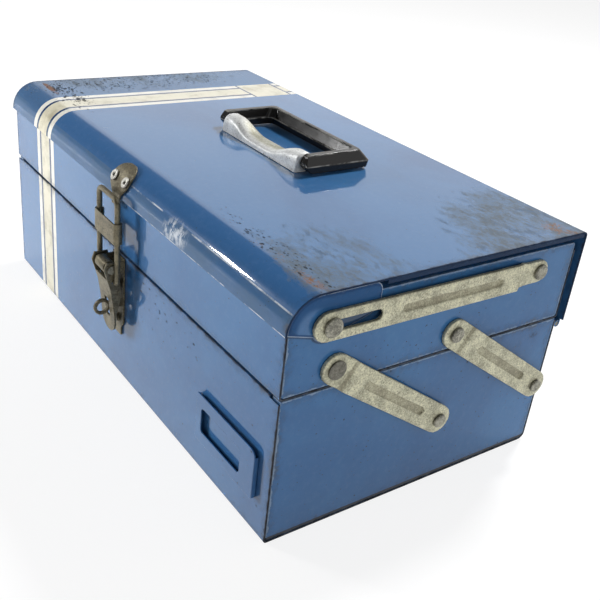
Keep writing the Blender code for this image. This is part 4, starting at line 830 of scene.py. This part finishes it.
def make_finishes():
    """Builds every material once."""
    fittings = bpy.context.scene.caddy_fittings
    FINISHES["body"] = enamel_material(
        "Body enamel", "body_wrapper", front_skin, True, chipped=BODY_CHIPS, rubbed=BODY_RUBS)
    FINISHES["body_end"] = enamel_material(
        "Body end enamel", "body_end_right", chipped=STRUCK, rubbed=NEAR_ARMS, edge_tone=ENDS_EDGE_HIGHLIGHT,
        foot=FOOT_HEIGHT, glazed=0.50)
    FINISHES["tray"] = enamel_material("Tray enamel", "tray_wrapper", front_skin, True, rubbed=TRAY_RUBS)
    FINISHES["tray_end"] = enamel_material(
        "Tray end enamel", "tray_end_right", chipped=STRUCK, rubbed=NEAR_ARMS, edge_tone=ENDS_EDGE_HIGHLIGHT,
        glazed=0.50, on_tray_end=True, shaded=BEHIND_SLOT)
    FINISHES["lid"] = enamel_material(
        "Lid enamel", "lid_shell", lid_skin, chipped=LID_CHIPS, stained=LID_STAINS, rusted=LID_RUST,
        rubbed=LID_RUBS)
    FINISHES["cheek"] = enamel_material(
        "Cheek enamel", "lid_cheek_right", edge_tone=ENDS_EDGE_HIGHLIGHT, glazed=0.70, on_cheek=True,
        shaded=BEHIND_SLOT)
    FINISHES["zinc"] = metal_material(fittings.zinc, "zinc", sunk=GROOVE_FLOOR)
    FINISHES["latch"] = metal_material(fittings.latch, "latch")
    FINISHES["steel"] = metal_material(fittings.steel, "steel")
    FINISHES["dark_steel"] = metal_material(DARK_STEEL, "dark_steel")
    FINISHES["eyelet"] = metal_material(EYELET, "eyelet")
    FINISHES["silver"] = metal_material(fittings.silver, "silver", aged=(SILVER_STAIN,))
    FINISHES["grip"] = grip_material()


def dress(node, body, finish, width, steps=2, least=28.0, sharp=46.0):
    """Stands a copy of a solid with rounded edges in the solid's place."""
    bm = round_edges(joined_skin(node), width, steps, least)
    return make_piece(node + "_skin", bm, body, FINISHES[finish], [node], sharp)


class CADDY_OT_finishes(bpy.types.Operator):
    """Mix the enamel, metal and grip finishes"""

    bl_idname = "caddy.finishes"
    bl_label = "Mix Finishes"

    def execute(self, context):
        for maker in (edge_distance_effect, chips_effect, scratches_effect, grime_effect, speckle_effect):
            maker()
        make_finishes()
        return {"FINISHED"}


class CADDY_OT_shells(bpy.types.Operator):
    """Round and paint the wrappers and end pans of body and tray"""

    bl_idname = "caddy.shells"
    bl_label = "Body and Tray Shells"

    def execute(self, context):
        width = context.scene.caddy_fittings.sheet_edge
        for body in ("body", "tray"):
            dress(body + "_wrapper", body, body, width)
            for side in SIDES:
                dress(body + "_end_" + side, body, body + "_end", width)
        return {"FINISHED"}


CHEEK_ROUND = 0.0032
CHEEK_DROP = 0.00080
CHEEK_STEPS = 5
SAME_PLANE = 1e-6


def rolled_cheek(node):
    """A cheek with its outer edge rolled over in rings, as a press leaves it."""
    bm = joined_skin(node)
    reach = max(abs(vert.co.x) for vert in bm.verts)
    flat = [face for face in bm.faces if all(abs(abs(vert.co.x) - reach) < SAME_PLANE for vert in face.verts)]
    if len(flat) != 1:
        raise RuntimeError("no single outer face on " + node)
    inward = -math.copysign(CHEEK_DROP, flat[0].calc_center_median().x)
    bmesh.ops.translate(bm, vec=(inward, 0.0, 0.0), verts=list(flat[0].verts))
    turns = [math.radians(90.0 * step / CHEEK_STEPS) for step in range(CHEEK_STEPS + 1)]
    for first, second in zip(turns, turns[1:]):
        width = CHEEK_ROUND * (math.cos(first) - math.cos(second))
        rise = CHEEK_DROP * (math.sin(second) - math.sin(first))
        bmesh.ops.inset_region(
            bm, faces=flat, thickness=width, depth=rise, use_even_offset=True, use_boundary=True)
    return bm


class CADDY_OT_lid(bpy.types.Operator):
    """Round and paint the lid and its two cheeks"""

    bl_idname = "caddy.lid"
    bl_label = "Lid and Cheeks"

    def execute(self, context):
        dress("lid_shell", "lid", "lid", context.scene.caddy_fittings.sheet_edge)
        for side in SIDES:
            node = "lid_cheek_" + side
            make_piece(node + "_skin", rolled_cheek(node), "lid", FINISHES["cheek"], [node])
        return {"FINISHED"}


class CADDY_OT_hinge(bpy.types.Operator):
    """Finish the rear hinge"""

    bl_idname = "caddy.hinge"
    bl_label = "Rear Hinge"

    def execute(self, context):
        dress("hinge_leaf", "body", "body", 0.0001, 1)
        finish_node("hinge_pin", FINISHES["steel"])
        return {"FINISHED"}


GROOVE_SINK = 0.0010
GROOVE_EDGE = 0.0004
LOW_WALL = 0.0002
DEEP_WALL = 0.0012


def wall_height(edge, outward):
    """Height of the wall beside a convex edge of an arm's outer face, or nothing."""
    if not edge.is_manifold or not edge.is_convex:
        return 0.0
    flats = [face for face in edge.link_faces if face.normal.x * outward > 0.7]
    walls = [face for face in edge.link_faces if abs(face.normal.x) < 0.3]
    if len(flats) != 1 or len(walls) != 1:
        return 0.0
    reach = [corner.co.x for corner in walls[0].verts]
    return max(reach) - min(reach)


def cast_arm(node, width):
    """A copy of an arm with rounded shoulders and a deeper groove, as a casting has."""
    bm = joined_skin(node)
    outward = 1.0 if node.endswith("right") else -1.0
    floors = []
    for face in bm.faces:
        if face.normal.x * outward > 0.9 and not any(edge.is_convex for edge in face.edges):
            floors.extend(face.verts)
    bmesh.ops.translate(bm, vec=(-outward * GROOVE_SINK, 0.0, 0.0), verts=list(set(floors)))
    groove = [edge for edge in bm.edges if LOW_WALL < wall_height(edge, outward) < DEEP_WALL]
    bevel(bm, groove, GROOVE_EDGE, 2)
    shoulder = [edge for edge in bm.edges if wall_height(edge, outward) > DEEP_WALL]
    bevel(bm, shoulder, width, 3)
    return bm


class CADDY_OT_arms(bpy.types.Operator):
    """Round the edges of the six zinc arms"""

    bl_idname = "caddy.arms"
    bl_label = "Linkage Arms"

    def execute(self, context):
        width = context.scene.caddy_fittings.arm_edge
        for side in SIDES:
            for arm in ("front_arm", "rear_arm", "lid_arm"):
                node = arm + "_" + side
                make_piece(node + "_cast", cast_arm(node, width), arm + "s", FINISHES["zinc"], [node])
        return {"FINISHED"}


PIN_SHANK = 0.0031
PIN_HEAD_THICK = 0.0020
FLUSH_THICK = 0.0009
BACK_HEAD = 0.0057
BACK_HEAD_THICK = 0.0014
BACK_HEAD_EDGE = 0.0006
COLLAR_GAP = 0.0003
COLLAR_DROP = 0.0048
PIN_STEPS = 40
PIN_SHARP = 60.0

# Pins: node, body, head radius, back head, spacer collar, flush dark head
PINS = (
    ("front_lower_pin", "body", 0.0048, True, True, False),
    ("rear_lower_pin", "body", 0.0048, True, True, False),
    ("front_upper_pin", "tray", 0.0062, True, False, True),
    ("rear_upper_pin", "tray", 0.0052, True, False, False),
    ("lid_arm_pivot", "tray", 0.0054, True, False, False),
    ("guide_pin", "lid_arms", 0.0060, False, False, False),
)


def pin_head(radius, face, top):
    """Half outline of a pin head with a softened rim and a shallow ring on its face."""
    rim = (top - face) * 0.22
    return [
        (PIN_SHANK, face), (radius - rim, face), (radius, face + rim), (radius, top - rim * 2.2),
        (radius - rim * 0.6, top - rim * 0.9), (radius - rim * 1.9, top - rim * 0.25), (radius * 0.60, top),
        (radius * 0.52, top - rim * 0.35), (radius * 0.30, top - rim * 0.45), (0.0, top - rim * 0.5)]


def pin_shank(back, headed, collared):
    """Half outline of a pin's inner part: head inside the wall, shank and spacer collar where asked."""
    if not headed:
        return [(0.0, back), (PIN_SHANK, back)]
    points = [(0.0, back), (BACK_HEAD - BACK_HEAD_EDGE, back), (BACK_HEAD, back + BACK_HEAD_EDGE)]
    points += [(BACK_HEAD, back + BACK_HEAD_THICK), (PIN_SHANK, back + BACK_HEAD_THICK)]
    if collared:
        start = node_high("body_end_right").x + COLLAR_GAP
        end = node_high("front_lower_pin_right").x - COLLAR_DROP
        points += [(PIN_SHANK, start), (BACK_HEAD, start), (BACK_HEAD, end), (PIN_SHANK, end)]
    return points


class CADDY_OT_pins(bpy.types.Operator):
    """Turn the pins that hold the arms"""

    bl_idname = "caddy.pins"
    bl_label = "Arm Pins"

    def execute(self, context):
        for kind, body, radius, headed, collared, flush in PINS:
            finish = FINISHES["dark_steel" if flush else "steel"]
            for side in SIDES:
                node = kind + "_" + side
                ends = sorted(abs(corner.x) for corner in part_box(node))
                face = ends[1] - PIN_HEAD_THICK
                top = face + (FLUSH_THICK if flush else PIN_HEAD_THICK)
                outline = pin_shank(ends[0], headed, collared) + pin_head(radius, face, top)
                bm = lay_along_x(turned_rod(outline, PIN_STEPS), node_middle(node), side == "left")
                make_piece(node + "_turned", bm, body, finish, [node], PIN_SHARP, False)
        return {"FINISHED"}


# Edge roundings of the small fittings, and the least turn that marks a round part's rim
FINE_EDGE = 0.0002
THIN_EDGE = 0.0003
SOFT_EDGE = 0.0006
RIM_TURN = 40.0


class CADDY_OT_label_frame(bpy.types.Operator):
    """Round and paint the label frame on the front"""

    bl_idname = "caddy.label_frame"
    bl_label = "Label Frame"

    def execute(self, context):
        dress("label_frame", "body", "body", SOFT_EDGE, 3, 30.0)
        return {"FINISHED"}


class CADDY_OT_latch(bpy.types.Operator):
    """Dress the draw latch: base, eye, lever, roller, bail and rivets"""

    bl_idname = "caddy.latch"
    bl_label = "Draw Latch"

    def execute(self, context):
        dress("latch_base", "body", "latch", THIN_EDGE)
        dress("padlock_eye", "body", "latch", SOFT_EDGE, 3, RIM_TURN)
        dress("latch_rivet_lower", "body", "latch", FINE_EDGE, 2, RIM_TURN)
        dress("latch_rivet_upper", "body", "latch", FINE_EDGE, 2, RIM_TURN)
        dress("latch_lever", "lever", "latch", THIN_EDGE)
        dress("latch_roller", "lever", "latch", 0.0004, 2, RIM_TURN)
        dress("lever_pin", "lever", "steel", THIN_EDGE, 2, RIM_TURN)
        dress("latch_bail", "bail", "latch", 0.0001, 1, 60.0, 60.0)
        dress("bail_plate", "bail", "latch", THIN_EDGE)
        return {"FINISHED"}


class CADDY_OT_keeper(bpy.types.Operator):
    """Dress the keeper plate and its two eyelets"""

    bl_idname = "caddy.keeper"
    bl_label = "Keeper"

    def execute(self, context):
        dress("keeper", "lid", "latch", THIN_EDGE)
        for side in SIDES:
            dress("keeper_eyelet_" + side, "lid", "eyelet", FINE_EDGE, 2, RIM_TURN)
        return {"FINISHED"}


# The grip's outline at three heights: height, outer and inner half width, front, rear and hollow
GRIP_LEVELS = (
    (0.1684, 0.0597, 0.0516, 0.0006, 0.0522, 0.0405),
    (0.1736, 0.0605, 0.0510, -0.0043, 0.0530, 0.0385),
    (0.1814, 0.0571, 0.0524, -0.0018, 0.0458, 0.0425),
)
GRIP_CORNER = 0.0034
GRIP_FRONT_CORNER = 0.0023
GRIP_EDGE = 0.0009
GRIP_MIDDLE = Vector((HANDLE_X, 0.020, 0.177))
PANEL_AREA = 1.0e-4
PANEL_MARGIN = 0.0012
PANEL_SINK = 0.0005


def grip_ring(level):
    """The eight corners of the grip's outline at one height."""
    height, outer, inner, front, rear, hollow = level
    corners = [(outer, front), (outer, rear), (-outer, rear), (-outer, front)]
    corners += [(-inner, front), (-inner, hollow), (inner, hollow), (inner, front)]
    return [Vector((HANDLE_X + across, along, height)) for across, along in corners]


def moulded_grip():
    """The grip: upright foot, sloped shoulders up to a narrow top and sunk panels on its inner slopes."""
    bm = bmesh.new()
    face = bm.faces.new([bm.verts.new(corner) for corner in grip_ring(GRIP_LEVELS[0])])
    low_ring = list(face.verts)
    for count, level in enumerate(GRIP_LEVELS[1:]):
        last = face
        grown = bmesh.ops.extrude_face_region(bm, geom=[face])
        face = [part for part in grown["geom"] if isinstance(part, bmesh.types.BMFace)][0]
        if count > 0 and last.is_valid:
            bmesh.ops.delete(bm, geom=[last], context="FACES_ONLY")
        ring = grip_ring(level)
        for corner, place in zip(low_ring, ring):
            risers = [edge.other_vert(corner) for edge in corner.link_edges]
            tops = [vert for vert in risers if vert in set(face.verts)]
            tops[0].co = place
        low_ring = [[vert for vert in face.verts if (vert.co - place).length < 1e-7][0] for place in ring]
    bmesh.ops.recalc_face_normals(bm, faces=bm.faces)
    upright = []
    for edge in bm.edges:
        first, second = (vert.co for vert in edge.verts)
        if abs(first.z - second.z) > 0.001 and min(first.y, second.y) > 0.02:
            upright.append(edge)
    bevel(bm, upright, GRIP_CORNER, 4)
    fronts = []
    for edge in bm.edges:
        first, second = (vert.co for vert in edge.verts)
        if max(first.y, second.y) < 0.001 and abs(first.x - second.x) > 0.004:
            fronts.append(edge)
    bevel(bm, fronts, GRIP_FRONT_CORNER, 4)
    slopes = []
    for side in bm.faces:
        centre = side.calc_center_median()
        inward = (GRIP_MIDDLE - centre).dot(side.normal) > 0.0
        if centre.z > 0.175 and inward and side.calc_area() > PANEL_AREA and abs(side.normal.z) < 0.9:
            slopes.append(side)
    bmesh.ops.inset_individual(bm, faces=slopes, thickness=PANEL_MARGIN, depth=-PANEL_SINK)
    return round_edges(bm, GRIP_EDGE, 2, 18.0)


class CADDY_OT_handle(bpy.types.Operator):
    """Dress the silver handle base and the black grip"""

    bl_idname = "caddy.handle"
    bl_label = "Handle"

    def execute(self, context):
        dress("handle_base", "lid", "silver", 0.0004, 2, RIM_TURN)
        for side in SIDES:
            finish_node("handle_rivet_" + side, FINISHES["steel"])
            finish_node("handle_pin_" + side, FINISHES["steel"])
        make_piece("handle_grip_moulded", moulded_grip(), "grip", FINISHES["grip"], ["handle_grip"])
        return {"FINISHED"}


CAMERA_PLACE = (0.5153, -0.3458, 0.3693)
CAMERA_AZIMUTH = math.radians(52.17)
CAMERA_ELEVATION = math.radians(27.85)
CAMERA_ROLL = math.radians(6.74)
SENSOR_WIDTH = 36.0
NEAREST_SEEN = 0.01


def camera_matrix():
    """Where the camera stands and how it is turned."""
    right = Vector((math.cos(CAMERA_AZIMUTH), math.sin(CAMERA_AZIMUTH), 0.0))
    level = math.cos(CAMERA_ELEVATION)
    back = Vector((right.y * level, -right.x * level, math.sin(CAMERA_ELEVATION)))
    turn = Matrix((right, back.cross(right), back)).transposed()
    roll = Matrix.Rotation(CAMERA_ROLL, 3, "Z")
    return Matrix.Translation(CAMERA_PLACE) @ (turn @ roll).to_4x4()


def lamp(name, place, target, power, size, mirrored=True):
    """A square area lamp that faces a target, and shows in glossy things if mirrored."""
    data = bpy.data.lights.new(name, "AREA")
    data.energy = power
    data.size = size
    facing = (Vector(target) - Vector(place)).to_track_quat("-Z", "Y")
    lamp_object = bpy.data.objects.new(name, data)
    bpy.context.scene.collection.objects.link(lamp_object)
    lamp_object.matrix_world = Matrix.Translation(place) @ facing.to_matrix().to_4x4()
    lamp_object.visible_glossy = mirrored


def seen_rays(bench):
    """1 for camera, glossy and transmission rays."""
    rays = bench.put("ShaderNodeLightPath").outputs
    return bench.most(rays["Is Camera Ray"], rays["Is Glossy Ray"], rays["Is Transmission Ray"])


WHITE = (1.0, 1.0, 1.0, 1.0)
FLOOR_HALF = 6.0
FLOOR_DROP = 0.0002
FLOOR_SHADE = (0.22, 0.22, 0.22, 1.0)
FLOOR_GLOW = 0.84


def floor_material(tone):
    """Matt floor that looks near white but still takes a shadow."""
    material = bpy.data.materials.new("Studio floor")
    material.use_nodes = True
    material.node_tree.nodes.clear()
    bench = NodeBench(material.node_tree)
    matt = bench.put("ShaderNodeBsdfDiffuse", {"Color": (*tone, 1.0)})
    pale = bench.put("ShaderNodeBsdfDiffuse", {"Color": FLOOR_SHADE})
    glow = bench.put("ShaderNodeEmission", {"Color": WHITE, "Strength": FLOOR_GLOW})
    seen = bench.put("ShaderNodeAddShader", {0: pale.outputs[0], 1: glow.outputs[0]})
    mixed = bench.put("ShaderNodeMixShader", {0: seen_rays(bench), 1: matt.outputs[0], 2: seen.outputs[0]})
    bench.put("ShaderNodeOutputMaterial", {0: mixed.outputs[0]})
    return material


def studio_world(ceiling):
    """White to the camera; for light and reflections, white walls under a dim ceiling, lower in front."""
    world = bpy.data.worlds.new("Studio room")
    world.use_nodes = True
    world.node_tree.nodes.clear()
    bench = NodeBench(world.node_tree)
    side, height = bench.split(bench.put("ShaderNodeTexCoord").outputs["Generated"])[1:]
    brow = bench.scaled(side, 0.55, 0.28)
    wall = bench.step(bench.minus(height, brow), 0.05, -0.05)
    seen = bench.put("ShaderNodeLightPath").outputs["Is Camera Ray"]
    strength = bench.most(seen, bench.spread(wall, ceiling, 1.0))
    sky = bench.put("ShaderNodeBackground", {"Color": WHITE, "Strength": strength})
    bench.put("ShaderNodeOutputWorld", {0: sky.outputs[0]})
    return world


class CADDY_OT_stage(bpy.types.Operator):
    """Lay the floor, set the lamps and place the camera"""

    bl_idname = "caddy.stage"
    bl_label = "Stage"

    def execute(self, context):
        stage = context.scene.caddy_stage
        bm = bmesh.new()
        bmesh.ops.create_grid(bm, x_segments=8, y_segments=8, size=FLOOR_HALF)
        bmesh.ops.translate(bm, vec=(0.0, 0.0, CAD_BOX[0][2] - FLOOR_DROP), verts=bm.verts[:])
        mesh = bpy.data.meshes.new("studio_floor")
        bm.to_mesh(mesh)
        bm.free()
        mesh.materials.append(floor_material(stage.floor))
        floor = bpy.data.objects.new("studio_floor", mesh)
        context.scene.collection.objects.link(floor)
        context.scene.world = studio_world(stage.ceiling)

        lamp("key_lamp", (-0.25, 1.05, 1.45), (0.0, 0.0, 0.12), stage.key_power, 0.25)
        lamp("strip_lamp", (-1.12, -0.99, 0.80), (0.0, -0.10, 0.15), stage.strip_power, 0.10)
        lamp("fill_lamp", (-1.45, -1.00, 0.24), (0.0, -0.10, 0.08), stage.fill_power, 0.40, False)
        lamp("side_lamp", (1.70, -0.20, 0.45), (0.21, 0.0, 0.09), stage.side_power, 1.0, False)

        camera = bpy.data.objects.new("photo_camera", bpy.data.cameras.new("photo_camera"))
        context.scene.collection.objects.link(camera)
        camera.data.sensor_width = SENSOR_WIDTH
        camera.data.lens = stage.lens
        camera.data.clip_start = NEAREST_SEEN
        camera.matrix_world = camera_matrix()
        context.scene.camera = camera
        context.scene.view_settings.view_transform = "Standard"
        return {"FINISHED"}


OPERATORS = (
    CADDY_OT_finishes, CADDY_OT_shells, CADDY_OT_lid, CADDY_OT_hinge, CADDY_OT_arms, CADDY_OT_pins,
    CADDY_OT_label_frame, CADDY_OT_latch, CADDY_OT_keeper, CADDY_OT_handle, CADDY_OT_stage,
)


class CADDY_PT_panel(bpy.types.Panel):
    """Lists the steps that dress the caddy"""

    bl_idname = "CADDY_PT_panel"
    bl_label = "Tool Caddy"
    bl_space_type = "VIEW_3D"
    bl_region_type = "UI"
    bl_category = "Caddy"

    def draw(self, context):
        for group in (context.scene.caddy_enamel, context.scene.caddy_fittings, context.scene.caddy_stage):
            box = self.layout.box()
            for key in group.__annotations__:
                box.prop(group, key)
        for operator in OPERATORS:
            self.layout.operator(operator.bl_idname)


SETTINGS = (("caddy_enamel", CaddyEnamel), ("caddy_fittings", CaddyFittings), ("caddy_stage", CaddyStage))


def register():
    """Registers the settings, operators and panel."""
    for name, group in SETTINGS:
        bpy.utils.register_class(group)
        setattr(bpy.types.Scene, name, PointerProperty(type=group))
    for operator in OPERATORS:
        bpy.utils.register_class(operator)
    bpy.utils.register_class(CADDY_PT_panel)


def unregister():
    """Takes them all out again."""
    bpy.utils.unregister_class(CADDY_PT_panel)
    for operator in reversed(OPERATORS):
        bpy.utils.unregister_class(operator)
    for name, group in reversed(SETTINGS):
        delattr(bpy.types.Scene, name)
        bpy.utils.unregister_class(group)


def main():
    """Dresses the caddy step by step."""
    register()
    bpy.ops.caddy.finishes()
    bpy.ops.caddy.shells()
    bpy.ops.caddy.lid()
    bpy.ops.caddy.hinge()
    bpy.ops.caddy.arms()
    bpy.ops.caddy.pins()
    bpy.ops.caddy.label_frame()
    bpy.ops.caddy.latch()
    bpy.ops.caddy.keeper()
    bpy.ops.caddy.handle()
    bpy.ops.caddy.stage()


if __name__ == "__main__":
    main()
